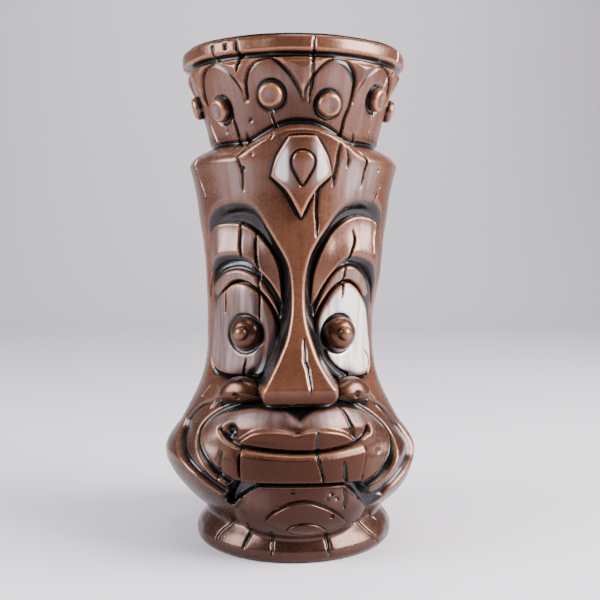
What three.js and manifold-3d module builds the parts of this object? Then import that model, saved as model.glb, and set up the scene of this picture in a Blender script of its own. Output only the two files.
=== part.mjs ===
// A tall ceramic tiki mug: a slip-cast body carved like a cracked wooden idol, glazed black inside, with the
// raised ornaments pressed separately and luted on. Millimetres, +Z up, the face looks along -Y, and the
// origin is the centre of the foot on the table.
import * as THREE from "three";
import { mergeVertices } from "three/addons/utils/BufferGeometryUtils.js";
import Module from "manifold-3d";

const wasm = await Module();
wasm.setup();

// Driving dimensions.
const HEIGHT = 180; // over the glazed lip
const RIM_RADIUS = 40.7;
const BELLY_RADIUS = 47.2; // over the cheeks
const LIP_REACH = 48; // front of the lower lip
const GLAZE = 0.8; // thickness of the liner
const GAP = 0.3; // lute line between two pieces
const MAP_RADIUS = 36; // arc lengths on the wall are measured on a cylinder of this radius
const CROWN_TURN = THREE.MathUtils.degToRad(2); // the crown and its crest sit slightly askew of the face
const ORNAMENTS = 10; // studs, and leaves, round the crown
const FLOOR = 8.5; // height of the body's inner floor
const SHOULDER = 139.3;
const CROWN_FOOT = 146;
const BAND_FOOT = 173; // groove under the rim band
const RIM_TOP = HEIGHT - GLAZE;
const SOCKET_DEPTH = 2.6;
const SEGMENTS = 40; // facets round the body

// Radii against height, from the foot up.
const HEAD = [
  [0, 35.4], [1.4, 36.5], [3.5, 36.8], [6.5, 36], [9, 34.1], [11.2, 32.4], [14, 34.4], [18, 38.6], [23, 42.9],
  [28, 45.8], [33, BELLY_RADIUS], [36.8, 46.4], [41, 43.6], [46, 40.3], [52, 37.2], [58, 34.1], [65, 32.2],
  [73, 31.2], [82, 31.1], [92, 32], [104, 33.2], [116, 34.5], [126, 35.8], [133, 37.1], [SHOULDER, 38.6],
];
const SHOULDER_SLOPE = [[141.4, 37.7], [143, 36.2], [144.5, 34], [CROWN_FOOT, 30.9]];
const CROWN = [[CROWN_FOOT, 30.9], [150, 31.7], [156, 33.4], [162, 35.1], [168, 37.1], [BAND_FOOT, 38.8]];
const BAND = [[BAND_FOOT + 1.2, RIM_RADIUS], [RIM_TOP - 1.4, RIM_RADIUS], [RIM_TOP, RIM_RADIUS - 1.4]];
const CAVITY = [
  [FLOOR, 22], [10, 26], [14, 28.2], [22, 33], [31, 36.8], [37, 36.8], [46, 33], [57, 28], [69, 25.8],
  [100, 26.4], [128, 28.6], [140, 27.4], [147, 25.9], [155, 28], [RIM_TOP, 36.6],
];

// The face's relief. Widths are half widths, and arcs run from the middle of the face.
const NOSE_RIDGE = [
  [54, 44.2], [56, 45.4], [60, 45.6], [63, 45], [68, 43.6], [75, 41.4], [85, 38.9], [95, 37.2], [105, 36.4],
  [115, 36.1], [126, 36.5], [133, 37.5], [SHOULDER, 38.9],
];
const NOSE_WIDTH = [
  [54, 12.4], [57, 13.2], [61, 12.9], [65, 9.6], [71, 7.2], [81, 3.8], [91, 2.6], [98, 3], [104, 3.6],
];
const NOSE_FOOT = 54;
const NOSE_TOP = 102;
const BROW_EDGE = [
  [3, 98], [3.6, 103], [5, 110], [7.5, 116], [12, 121.4], [18, 124.8], [25, 126.4], [32, 125], [39, 119.5],
  [46, 110],
];
const SKEW = { eyes: -1.7, muzzle: -0.8, lip: 0.7, chin: 2.2 }; // how far each feature sits from the middle
const SOCKET_FOOT = 60;
const SOCKET_END = 46;
const MUZZLE = [
  [11, 37.4], [14, 39.6], [18, 41.4], [24, 43], [29.6, 44], [31, 45.2], [42, 45.2], [44, 46.6], [48, 47.2],
  [51, 44.6], [53.6, 42],
];
const MUZZLE_WIDTH = [
  [11, 12], [15, 17], [20, 19], [26, 20.5], [30, 25], [35, 29.6], [40, 32.2], [46, 32.2], [50.5, 28.5],
  [53.6, 22],
];

const { clamp, lerp, smoothstep } = THREE.MathUtils;
const mirror = (outline) => outline.map(([arc, z]) => [-arc, z]).reverse();

// A smooth line through [x, y] pairs that doesn't overshoot them, flat beyond its ends.
function along(pairs, x) {
  const last = pairs.length - 1;
  if (x <= pairs[0][0]) return pairs[0][1];
  if (x >= pairs[last][0]) return pairs[last][1];
  let i = 0;
  while (x > pairs[i + 1][0]) i++;
  const chord = (k) => (pairs[k + 1][1] - pairs[k][1]) / (pairs[k + 1][0] - pairs[k][0]);
  const slope = (p, q) => (p * q > 0 ? (2 * p * q) / (p + q) : 0);
  const [x0, y0] = pairs[i];
  const [x1, y1] = pairs[i + 1];
  const width = x1 - x0;
  const start = width * slope(i > 0 ? chord(i - 1) : chord(i), chord(i));
  const end = width * slope(chord(i), i + 1 < last ? chord(i + 1) : chord(i));
  const t = (x - x0) / width;
  const bend = t * t * (3 - 2 * t);
  return lerp(y0, y1, bend) + t * (1 - t) * ((1 - t) * start - t * end);
}

// A bell, 1 in the middle and 0 from the given reach on.
const bell = (x, reach) => (Math.abs(x) < reach ? (1 + Math.cos((Math.PI * x) / reach)) / 2 : 0);

// The point of the wall at an arc length from the middle of the face, seen from outside.
function wallPoint(arc, z, radius) {
  const theta = arc / MAP_RADIUS;
  return new THREE.Vector3(radius * Math.sin(theta), -radius * Math.cos(theta), z);
}

// How far the forehead stands in front of the turned head.
function foreheadRadius(arc, z) {
  const spread = 1 - smoothstep(Math.abs(arc), 12, SOCKET_END - 1);
  const lean = 0.16 * Math.max(0, z - SHOULDER);
  return along(HEAD, z) - GAP + (along(NOSE_RIDGE, z) - along(HEAD, z) + GAP) * spread + lean;
}

// The floor of the eye socket.
function socketRadius(arc, z) {
  const spread = 1 - smoothstep(Math.abs(arc), 24, SOCKET_END);
  return along(HEAD, z) - SOCKET_DEPTH * spread * smoothstep(z, SOCKET_FOOT, SOCKET_FOOT + 7);
}

function muzzleRadius(share, z) {
  return along(MUZZLE, z) - 2.2 * smoothstep(Math.abs(share), 0.72, 1);
}

// A closed slab between two surfaces, each given as a function of u and v from 0 to 1.
function slab(columns, rows, front, back) {
  const points = [];
  for (const side of [front, back]) {
    for (let j = 0; j <= rows; j++) {
      for (let i = 0; i <= columns; i++) points.push(side(i / columns, j / rows));
    }
  }
  const width = columns + 1;
  const layer = width * (rows + 1);
  const triangles = [];
  const quad = (a, b, c, d) => triangles.push(a, b, c, a, c, d);
  for (let j = 0; j < rows; j++) {
    for (let i = 0; i < columns; i++) {
      const a = j * width + i;
      quad(a, a + 1, a + width + 1, a + width);
      quad(layer + a, layer + a + width, layer + a + width + 1, layer + a + 1);
    }
  }
  for (let i = 0; i < columns; i++) {
    const top = rows * width + i;
    quad(i + 1, i, layer + i, layer + i + 1);
    quad(top, top + 1, layer + top + 1, layer + top);
  }
  for (let j = 0; j < rows; j++) {
    const left = j * width;
    const right = left + columns;
    quad(left, left + width, layer + left + width, layer + left);
    quad(right + width, right, layer + right, layer + right + width);
  }
  return geometryOf(points, triangles);
}

function geometryOf(points, triangles) {
  const geometry = new THREE.BufferGeometry().setFromPoints(points);
  geometry.setIndex(triangles);
  return geometry;
}

// A three.js geometry as a manifold-3d solid, and back.
function solidOf(geometry) {
  const bare = geometry.clone();
  bare.deleteAttribute("normal");
  bare.deleteAttribute("uv");
  const merged = mergeVertices(bare, 1e-4);
  const vertProperties = merged.attributes.position.array;
  const triVerts = new Uint32Array(merged.index.array);
  return new wasm.Manifold(new wasm.Mesh({ numProp: 3, vertProperties, triVerts }));
}

function geometryFrom(solid) {
  const mesh = solid.getMesh();
  const geometry = new THREE.BufferGeometry();
  geometry.setAttribute("position", new THREE.BufferAttribute(new Float32Array(mesh.vertProperties), 3));
  geometry.setIndex(new THREE.BufferAttribute(new Uint32Array(mesh.triVerts), 1));
  return geometry;
}

// A turned solid about Z from [radius, z] pairs that start and end on the axis.
function turned(pairs, segments) {
  const points = pairs.map(([r, z]) => new THREE.Vector2(r, z));
  return new THREE.LatheGeometry(points, segments).rotateX(Math.PI / 2);
}

const flip = ([z, r]) => [r, z];
const CORE = 28; // the relief's slabs reach back to this radius, inside the wall,
const OUTSIDE = 60; // and what cuts the head reaches out to this one

// The forehead, from the shoulder down to the edge of the brows.
function forehead() {
  const place = (radius) => (u, v) => {
    const arc = lerp(-SOCKET_END, SOCKET_END, u);
    const z = lerp(along(BROW_EDGE, Math.abs(arc)), SHOULDER, v);
    return wallPoint(arc, z, radius(arc, z));
  };
  return slab(20, 4, place(foreheadRadius), place(() => CORE));
}

// The shoulder rises over the crest, and slopes back to the crown.
function crestHump() {
  const REACH = 24;
  const place = (radius) => (u, v) => {
    const arc = lerp(-REACH, REACH, u);
    const middle = arc - CROWN_TURN * MAP_RADIUS;
    const ridge = SHOULDER + 8.2 * bell(middle, REACH);
    const top = CROWN_FOOT + 4 * bell(middle, REACH);
    const z = v < 0.5 ? lerp(SHOULDER - 1, ridge, v * 2) : lerp(ridge, top, v * 2 - 1);
    const sunk = along(CROWN, z) - GAP;
    return wallPoint(arc, z, radius ?? (v > 0.9 ? sunk : foreheadRadius(arc, z) - (v > 0.6 ? 1.4 : 0)));
  };
  return slab(12, 4, place(), place(CORE));
}

function eyeSocket(sign) {
  const NOSE_SIDE = 2;
  const place = (radius) => (u, v) => {
    const arc = sign > 0 ? lerp(NOSE_SIDE, SOCKET_END, u) : lerp(-SOCKET_END, -NOSE_SIDE, u);
    const z = lerp(SOCKET_FOOT, along(BROW_EDGE, Math.abs(arc)) + 1, Math.pow(v, 1.5));
    return wallPoint(arc, z, radius(arc, z));
  };
  return slab(12, 10, place(() => OUTSIDE), place(socketRadius));
}

// The flat-fronted nose, from between the brows to its tip.
function nose(grow = 0) {
  const place = (front) => (u, v) => {
    const z = lerp(NOSE_FOOT - grow, NOSE_TOP, Math.pow(v, 1.25));
    const share = Math.sin(Math.PI * (u - 0.5));
    const half = along(NOSE_WIDTH, z) + grow;
    const y = front ? along(NOSE_RIDGE, z) + grow - 0.9 * smoothstep(Math.abs(share), 0.7, 1) : CORE;
    return new THREE.Vector3(share * (front ? half : half + 1), -y, z);
  };
  return slab(6, 10, place(true), place(false));
}

// The muzzle, with the lips and the chin: a slab between two radii, where none is given on the muzzle's front.
function muzzle(front, back, grow = 0) {
  const rows = [11, 14, 18, 24, 29.6, 31, 36, 42, 44, 48, 51, 53.6];
  const place = (radius) => (u, v) => {
    const z = rows[Math.round(v * (rows.length - 1))];
    const share = lerp(-1, 1, u);
    const rise = v === 1 ? grow : 0;
    const arc = SKEW.muzzle + share * (along(MUZZLE_WIDTH, z) + grow);
    return wallPoint(arc, z + rise, radius ?? muzzleRadius(share, z) + grow);
  };
  return slab(12, rows.length - 1, place(front), place(back));
}

function mugBody() {
  const LIP_CLEARANCE = 36.9;
  const CAVITY_SEGMENTS = 32;
  const outside = [[0, 0], ...[...HEAD, ...SHOULDER_SLOPE, ...CROWN.slice(1), ...BAND].map(flip), [0, RIM_TOP]];
  const inside = [[0, FLOOR], ...CAVITY.map(flip), [LIP_CLEARANCE, HEIGHT + 1], [0, HEIGHT + 1]];
  const [RECESS_RADIUS, RECESS] = [27, 1.6]; // hollow in the underside
  const recess = [[0, -1], [RECESS_RADIUS + 0.6, -1], [RECESS_RADIUS - 1, RECESS], [0, RECESS]];
  let body = solidOf(turned(outside, SEGMENTS));
  const cuts = [eyeSocket(-1), eyeSocket(1), muzzle(OUTSIDE, undefined)];
  for (const cut of cuts) body = body.subtract(solidOf(cut));
  const reliefs = [forehead(), crestHump(), nose(), muzzle(undefined, CORE)];
  for (const relief of reliefs) body = body.add(solidOf(relief));
  for (const cut of [inside, recess]) body = body.subtract(solidOf(turned(cut, CAVITY_SEGMENTS)));
  return geometryFrom(body);
}

// A turned profile moved inwards by the given distance, square to itself.
function inset(pairs, distance) {
  return pairs.map(([r, z], i) => {
    const before = pairs[Math.max(0, i - 1)];
    const after = pairs[Math.min(pairs.length - 1, i + 1)];
    const run = new THREE.Vector2(after[0] - before[0], after[1] - before[1]).normalize();
    return [Math.max(0, r - distance * run.y), z + distance * run.x];
  });
}

// The black glaze that lines the cavity and rolls over the lip.
function glazeLiner() {
  const LINER_SEGMENTS = 32;
  const wall = [[0, FLOOR], ...CAVITY.map(flip)];
  const outside = inset(wall, GAP);
  const inside = inset(wall, GAP + GLAZE).reverse();
  const mouth = outside[outside.length - 1][0];
  const lip = [
    [mouth, RIM_TOP + GAP], [39.2, RIM_TOP + GAP], [38.8, HEIGHT - 0.15], [37.6, HEIGHT], [36.2, HEIGHT - 0.3],
  ];
  return turned([...outside, ...lip, ...inside], LINER_SEGMENTS);
}

// A pad luted onto the wall. The outline is a closed list of [arc, z], anticlockwise seen from outside.
// wall(arc, z) is the radius it lies on, and height(rho) its thickness from the middle (0) to the edge (1).
function pad({ outline, middle, wall, height, rings = 2 }) {
  const n = outline.length;
  const points = [];
  const layer = (lift) => {
    const start = points.length;
    const place = (rho, k) => {
      const arc = lerp(middle[0], outline[k][0], rho);
      const z = lerp(middle[1], outline[k][1], rho);
      points.push(wallPoint(arc, z, wall(arc, z) + lift(rho)));
    };
    place(0, 0);
    for (let ring = 1; ring <= rings; ring++) for (let k = 0; k < n; k++) place(ring / rings, k);
    return (ring, k) => (ring ? start + 1 + (ring - 1) * n + (k % n) : start);
  };
  const top = layer((rho) => GAP + height(rho));
  const under = layer(() => GAP);
  const triangles = [];
  for (let k = 0; k < n; k++) {
    for (let ring = 0; ring < rings; ring++) {
      triangles.push(top(ring, k), top(ring + 1, k), top(ring + 1, k + 1));
      triangles.push(under(ring, k), under(ring + 1, k + 1), under(ring + 1, k));
      if (ring === 0) continue;
      triangles.push(top(ring, k), top(ring + 1, k + 1), top(ring, k + 1));
      triangles.push(under(ring, k), under(ring, k + 1), under(ring + 1, k + 1));
    }
    triangles.push(top(rings, k), under(rings, k), under(rings, k + 1));
    triangles.push(top(rings, k), under(rings, k + 1), top(rings, k + 1));
  }
  return geometryOf(points, triangles);
}

// Points round a shape that was drawn in arc and height, anticlockwise seen from outside.
function outlineOf(draw, divisions) {
  const shape = new THREE.Shape();
  draw(shape);
  const points = shape.getPoints(divisions);
  if (points[0].distanceTo(points[points.length - 1]) < 1e-6) points.pop();
  if (THREE.ShapeUtils.area(points) < 0) points.reverse();
  return points.map(({ x, y }) => [x, y]);
}

const finishes = {
  body: new THREE.MeshStandardMaterial({ color: 0x8a4b2e, roughness: 0.38, metalness: 0.55 }),
  ornament: new THREE.MeshStandardMaterial({ color: 0xa8663f, roughness: 0.32, metalness: 0.6 }),
  liner: new THREE.MeshStandardMaterial({ color: 0x0c0a0a, roughness: 0.12, metalness: 0 }),
};
const mug = new THREE.Group();

function add(name, geometry, material = finishes.ornament, parent = mug) {
  const mesh = new THREE.Mesh(geometry, material);
  mesh.name = name;
  parent.add(mesh);
  return mesh;
}

// A turned piece that stands on the wall with its axis pointing out, tipped by lean.
function standOnWall(name, profile, segments, arc, z, radius, lean = 0) {
  const holder = new THREE.Group();
  holder.position.copy(wallPoint(arc, z, radius));
  holder.rotation.z = arc / MAP_RADIUS;
  add(name, turned(profile, segments), finishes.ornament, holder).rotation.x = Math.PI / 2 + lean;
  mug.add(holder);
}

add("mug_body", mugBody(), finishes.body);
add("glaze_liner", glazeLiner(), finishes.liner);

// The crown: leaves that hang from the rim band, and a stud in each arch between two of them. They are set by
// eye, so each has its own arc from the middle of the face, running round to the right, and its own height.
const CROWN_LEAN = Math.atan2(38.8 - 30.9, BAND_FOOT - CROWN_FOOT);
const STUD = [[0, 0], [4.3, 0], [4.3, 1.4], [3.4, 2.5], [0, 2.8]];
const STUD_SEGMENTS = 14;
const STUDS = [
  [11.5, 157.9], [33.6, 161.4], [55.4, 160.2], [79, 157.2], [103, 159.4],
  [126.7, 158], [149.9, 157.4], [173.4, 160.5], [195, 157.2], [216.8, 160.8],
];
// Each leaf has the arc of its tip, and how square the arches to its left and its right are on its side.
const LEAVES = [
  [1.8, 1.4, 1.5], [21.4, 2.6, 1.6], [43.4, 2, 1.8], [67, 2, 2], [91, 1.8, 2],
  [114.9, 2, 2], [138.2, 2, 1.8], [161.6, 2, 2], [185, 2, 2], [207.3, 1.6, 2.4],
];
const [LEAF_FOOT, LEAF_TOP, LEAF_GAP] = [159.6, 172.2, 0.3];
const ROUND = 2 * Math.PI * MAP_RADIUS;
const crestArc = CROWN_TURN * MAP_RADIUS;
const crownRadius = (arc, z) => along(CROWN, z);

// A leaf with hollow sides, so that the gap between two of them is an arch. A squareness of 2 makes it round.
function leafOutline(tip, sides) {
  const STEPS = 6;
  const up = ({ reach, squareness }) =>
    Array.from({ length: STEPS + 1 }, (_, k) => {
      const share = Math.max(0.05, (k / STEPS) ** 1.6);
      const rise = k && (1 - (1 - share) ** squareness) ** (1 / squareness);
      return [tip + reach * share, lerp(LEAF_FOOT, LEAF_TOP, rise)];
    });
  const [left, right] = sides;
  const top = [0.75, 0.5, 0.25, 0, -0.25, -0.5, -0.75].map((share) => {
    const reach = share < 0 ? -left.reach : right.reach;
    return [tip + share * reach, LEAF_TOP + 0.1];
  });
  return [...up(right), ...top, ...up(left).reverse()];
}

LEAVES.forEach(([tip, squareLeft, squareRight], k) => {
  const before = k > 0 ? LEAVES[k - 1][0] : LEAVES[ORNAMENTS - 1][0] - ROUND;
  const after = k < ORNAMENTS - 1 ? LEAVES[k + 1][0] : LEAVES[0][0] + ROUND;
  const number = String(k + 1).padStart(2, "0");
  const outline = leafOutline(tip, [
    { reach: (before - tip + LEAF_GAP) / 2, squareness: squareLeft },
    { reach: (after - tip - LEAF_GAP) / 2, squareness: squareRight },
  ]);
  const height = (rho) => 2 - 0.5 * rho;
  add(`crown_leaf_${number}`, pad({ outline, middle: [tip, 169], wall: crownRadius, height }));
  const [arc, z] = STUDS[k];
  const seat = along(CROWN, z) + GAP;
  standOnWall(`crown_stud_${number}`, STUD, STUD_SEGMENTS, arc, z, seat, CROWN_LEAN);
});

// The crest on the forehead: a kite-shaped plaque with a drop-shaped boss.
const PLAQUE = 2.4;
const kite = outlineOf((shape) => {
  shape.moveTo(crestArc + 4.2, 146.2);
  shape.lineTo(crestArc - 4.2, 146.2);
  shape.quadraticCurveTo(crestArc - 7.6, 140.4, crestArc - 9.7, 133.3);
  shape.quadraticCurveTo(crestArc - 3.4, 129.4, crestArc, 119.6);
  shape.quadraticCurveTo(crestArc + 3.4, 129.4, crestArc + 9.7, 133.3);
  shape.quadraticCurveTo(crestArc + 7.6, 140.4, crestArc + 4.2, 146.2);
}, 5);
add("crest_plaque", pad({
  outline: kite,
  middle: [crestArc, 136],
  wall: (arc, z) => foreheadRadius(arc, z),
  height: (rho) => PLAQUE - 1.2 * Math.max(0, rho * 2 - 1),
  rings: 3,
}));
const drop = outlineOf((shape) => {
  shape.moveTo(crestArc, 130.6);
  shape.quadraticCurveTo(crestArc + 3.4, 135, crestArc + 3.3, 138.4);
  shape.absarc(crestArc, 138.4, 3.3, 0, Math.PI, false);
  shape.quadraticCurveTo(crestArc - 3.4, 135, crestArc, 130.6);
}, 4);
add("crest_boss", pad({
  outline: drop,
  middle: [crestArc, 137.6],
  wall: (arc, z) => foreheadRadius(arc, z) + GAP + PLAQUE,
  height: (rho) => 1 - 0.5 * rho,
}));

// The face's pads: brows, eyeballs with a domed pupil and a bead on it, and the wings of the nose.
const EYE = { arc: 24.2, z: 80.2, across: 16.6, up: 16.4, thick: 1.8 };
const PUPIL = { arc: 21.2, z: 79, radius: 6.2, depth: 4.8, bead: 2.3, lean: 1.2 };
const dome = (radius, depth, steps) => {
  const profile = [[0, 0]];
  for (let k = 0; k < steps; k++) {
    const a = (k / steps) * (Math.PI / 2);
    profile.push([radius * Math.cos(a), depth * Math.sin(a)]);
  }
  return [...profile, [0, depth]];
};
const eyeOutline = outlineOf((shape) => shape.absellipse(EYE.arc, EYE.z, EYE.across, EYE.up, 0, 2 * Math.PI), 12);
const browOutline = outlineOf((shape) => {
  shape.moveTo(9, 92);
  shape.quadraticCurveTo(14, 104, 22, 104.4);
  shape.quadraticCurveTo(31, 104.4, 40, 97.5);
  shape.lineTo(42, 109);
  shape.quadraticCurveTo(36, 120, 27.5, 119.6);
  shape.quadraticCurveTo(11, 117.6, 7.4, 94);
}, 6);
const wingOutline = outlineOf((shape) => {
  shape.moveTo(12.4, 55.6);
  shape.quadraticCurveTo(22, 56, 29.6, 52.6);
  shape.quadraticCurveTo(30.4, 58.6, 26.4, 62);
  shape.quadraticCurveTo(21, 66, 15.4, 62);
  shape.quadraticCurveTo(12.6, 59.4, 12.4, 55.6);
}, 4);
const neighbours = solidOf(nose(GAP)).add(solidOf(muzzle(undefined, CORE, GAP)));
for (const [side, sign] of [["left", -1], ["right", 1]]) {
  const facing = (outline) => (sign < 0 ? mirror(outline) : outline);
  add(`brow_${side}`, pad({
    outline: facing(browOutline),
    middle: [sign * 23.4, 111],
    wall: socketRadius,
    height: (rho) => 2 - 0.7 * rho,
    rings: 4,
  }));
  const eyeball = pad({
    outline: facing(eyeOutline).map(([arc, z]) => [arc + SKEW.eyes, z]),
    middle: [SKEW.eyes + sign * EYE.arc, EYE.z],
    wall: socketRadius,
    height: (rho) => EYE.thick * (1 - 0.5 * rho * rho),
    rings: 4,
  });
  add(`eyeball_${side}`, geometryFrom(solidOf(eyeball).subtract(neighbours)));
  const wing = pad({
    outline: facing(wingOutline),
    middle: [sign * 21, 58.4],
    wall: socketRadius,
    height: (rho) => 4 * Math.sqrt(1 - clamp(rho, 0, 0.95) ** 2),
    rings: 3,
  });
  add(`nose_wing_${side}`, geometryFrom(solidOf(wing).subtract(neighbours)));
  const pupilSeat = socketRadius(PUPIL.arc, PUPIL.z) + GAP + EYE.thick + GAP;
  const pupilArc = SKEW.eyes + sign * PUPIL.arc;
  standOnWall(`pupil_${side}`, dome(PUPIL.radius, PUPIL.depth, 4), 18, pupilArc, PUPIL.z, pupilSeat);
  const beadSeat = pupilSeat + PUPIL.depth + GAP;
  const beadArc = pupilArc - sign * PUPIL.lean; // the beads look a little more to the front than the pupils
  standOnWall(`pupil_bead_${side}`, dome(PUPIL.bead, 1.5, 3), 10, beadArc, PUPIL.z + 0.4, beadSeat);
}

// The lower lip is a square-cut bar, and the chin carries a lens-shaped pad with a smaller one on it.
const [BAR_HALF, BAR_TOP, BAR_FOOT] = [17, 40.6, 31.6];
const barOutline = outlineOf((shape) => {
  const STEPS = 6;
  shape.moveTo(SKEW.lip - BAR_HALF + 0.8, BAR_FOOT);
  for (let k = 1; k <= STEPS; k++) shape.lineTo(SKEW.lip + (BAR_HALF - 0.8) * ((2 * k) / STEPS - 1), BAR_FOOT);
  for (let k = STEPS; k >= 0; k--) {
    const share = (2 * k) / STEPS - 1;
    shape.lineTo(SKEW.lip + BAR_HALF * share, BAR_TOP + 1.2 * share * share);
  }
}, 1);
const onMuzzle = (arc, z) => along(MUZZLE, z);
add("lower_lip", pad({
  outline: barOutline,
  middle: [SKEW.lip, 36],
  wall: onMuzzle,
  height: (rho) => LIP_REACH - along(MUZZLE, 36) - GAP - 0.6 * Math.max(0, rho * 2 - 1),
  rings: 4,
}));
const lens = (half, z, rise, fall, divisions) =>
  outlineOf((shape) => {
    shape.moveTo(SKEW.chin - half, z);
    shape.quadraticCurveTo(SKEW.chin, z - 2 * fall, SKEW.chin + half, z);
    shape.quadraticCurveTo(SKEW.chin, z + 2 * rise, SKEW.chin - half, z);
  }, divisions);
const CHIN_PAD = 1.8;
add("chin_pad", pad({
  outline: lens(13, 15.6, 5.8, 3.4, 8),
  middle: [SKEW.chin, 16.4],
  wall: onMuzzle,
  height: (rho) => CHIN_PAD - 0.9 * rho,
  rings: 4,
}));
add("chin_bead", pad({
  outline: lens(5.8, 14.2, 1.7, 1.7, 6),
  middle: [SKEW.chin, 14.2],
  wall: (arc, z) => along(MUZZLE, z) + GAP + CHIN_PAD,
  height: (rho) => 1.2 - 0.6 * rho,
}));

export default mug;
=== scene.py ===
"""The looks of the tiki mug: a copper-brown glaze, antiqued with black, over carved relief.

The wall is worked as a height map. s is the arc length round the mug, measured on a drum of radius MAP from
the middle of the face and growing to the viewer's right, and z is the height. relief(s, z) is the wall's
radius there, and every ornament is a pad that lies on the wall. All of it is in millimetres; only the
finished points are in metres.
"""
import math

import bpy
import numpy as np
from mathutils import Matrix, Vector


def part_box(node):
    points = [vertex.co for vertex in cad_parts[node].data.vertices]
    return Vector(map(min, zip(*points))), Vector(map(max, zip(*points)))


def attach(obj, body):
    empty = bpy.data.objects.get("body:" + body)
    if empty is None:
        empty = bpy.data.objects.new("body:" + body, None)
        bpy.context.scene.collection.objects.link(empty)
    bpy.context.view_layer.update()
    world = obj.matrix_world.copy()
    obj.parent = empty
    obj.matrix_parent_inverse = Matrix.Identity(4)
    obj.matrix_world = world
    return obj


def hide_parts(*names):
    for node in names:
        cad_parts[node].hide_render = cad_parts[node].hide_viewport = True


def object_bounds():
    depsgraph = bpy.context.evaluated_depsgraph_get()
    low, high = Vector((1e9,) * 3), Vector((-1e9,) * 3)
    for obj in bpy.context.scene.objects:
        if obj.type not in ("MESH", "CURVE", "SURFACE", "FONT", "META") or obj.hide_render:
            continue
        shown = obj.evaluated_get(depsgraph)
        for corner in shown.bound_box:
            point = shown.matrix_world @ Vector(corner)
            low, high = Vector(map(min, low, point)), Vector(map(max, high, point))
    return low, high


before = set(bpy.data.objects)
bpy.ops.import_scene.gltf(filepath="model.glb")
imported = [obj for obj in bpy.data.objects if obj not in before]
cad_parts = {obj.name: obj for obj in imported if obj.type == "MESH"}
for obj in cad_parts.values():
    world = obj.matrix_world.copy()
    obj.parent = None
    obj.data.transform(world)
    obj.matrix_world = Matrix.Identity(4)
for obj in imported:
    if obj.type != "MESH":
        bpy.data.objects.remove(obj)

cad_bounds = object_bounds()
MM = 0.001
MAP = 36.0  # the radius of the drum that arcs are measured on
HALF_TURN = math.pi * MAP
TOP = cad_bounds[1].z / MM  # over the glazed lip

# Heights of the main steps.
SHOULDER = 139.3
CROWN_FOOT = 146.2
BAND_FOOT = 173.2

BAND_RADIUS = 40.8
SOCKET_DEPTH = 3.2
CRACK_DEPTH = 1.25
BACK_CRACKS = 44
SUNK = 1.6  # how far a pad's back lies under the wall
CROWN_TURN = math.radians(2.0)  # the crown and its crest are turned to the viewer's right
CREST = CROWN_TURN * MAP
ORNAMENTS = 10  # leaves and studs round the crown
LEAF_TIPS = (1.8, 21.4, 43.4, 67, 91, -111.3, -88, -64.6, -41.2, -18.9)
# How square the arches left and right of each leaf are; 2 makes them round.
SQUARENESS = (
    (1.4, 1.5), (2.6, 1.6), (2, 1.8), (2, 2), (1.8, 2), (2, 2), (2, 1.8), (2, 2), (2, 2), (1.6, 2.4),
)


# --- Numbers, curves and distances ---

def step(x, low, high):
    """0 below low, 1 above high and smooth between."""
    t = np.clip((x - low) / (high - low), 0, 1)
    return t * t * (3 - 2 * t)


def mix(a, b, t):
    """a where t is 0 and b where it is 1."""
    return a + (b - a) * t


def along(pairs, x):
    """A smooth line through (x, y) pairs that doesn't overshoot them, flat beyond its ends."""
    px, py = np.array(pairs, float).T
    chord = np.diff(py) / np.diff(px)
    slope = np.zeros(len(px))
    both = chord[:-1] * chord[1:]
    slope[1:-1] = np.where(both > 0, 2 * both / np.where(both > 0, chord[:-1] + chord[1:], 1), 0)
    slope[0], slope[-1] = chord[0], chord[-1]
    x = np.clip(x, px[0], px[-1])
    i = np.clip(np.searchsorted(px, x, side="right") - 1, 0, len(px) - 2)
    w = px[i + 1] - px[i]
    t = (x - px[i]) / w
    bend = t * t * (3 - 2 * t)
    return mix(py[i], py[i + 1], bend) + t * (1 - t) * w * ((1 - t) * slope[i] - t * slope[i + 1])


def stroke(points, per=8, closed=False):
    """A smooth curve through the points, as a dense list."""
    p = np.array(points, float)
    if len(p) < 3:
        t = np.linspace(0, 1, per * 2)[:, None]
        return p[0] + (p[-1] - p[0]) * t
    if closed:
        p = np.vstack([p[-1], p, p[0], p[1]])
    else:
        p = np.vstack([2 * p[0] - p[1], p, 2 * p[-1] - p[-2]])
    out = []
    for a, b, c, d in zip(p[:-3], p[1:-2], p[2:-1], p[3:]):
        square, cube = 2 * a - 5 * b + 4 * c - d, 3 * b - a - 3 * c + d
        for t in np.arange(per) / per:
            out.append(0.5 * (2 * b + (c - a) * t + square * t**2 + cube * t**3))
    if not closed:
        out.append(p[-2])
    return np.array(out)


def resampled(line, count):
    """The line as count points."""
    t = np.linspace(0, len(line) - 1, count)
    return np.stack([np.interp(t, np.arange(len(line)), line[:, c]) for c in (0, 1)], -1)


def outline(*strokes):
    """A closed outline of smooth strokes; each one ends at a corner, where the next one starts."""
    corners = [points[:1] for points in strokes[1:] + strokes[:1]]
    return np.vstack([stroke(points + corner)[:-1] for points, corner in zip(strokes, corners)])


def on_crest(*strokes):
    """An outline whose arcs are counted from the middle of the crest."""
    return outline(*[[(CREST + s, z) for s, z in points] for points in strokes])


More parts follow.
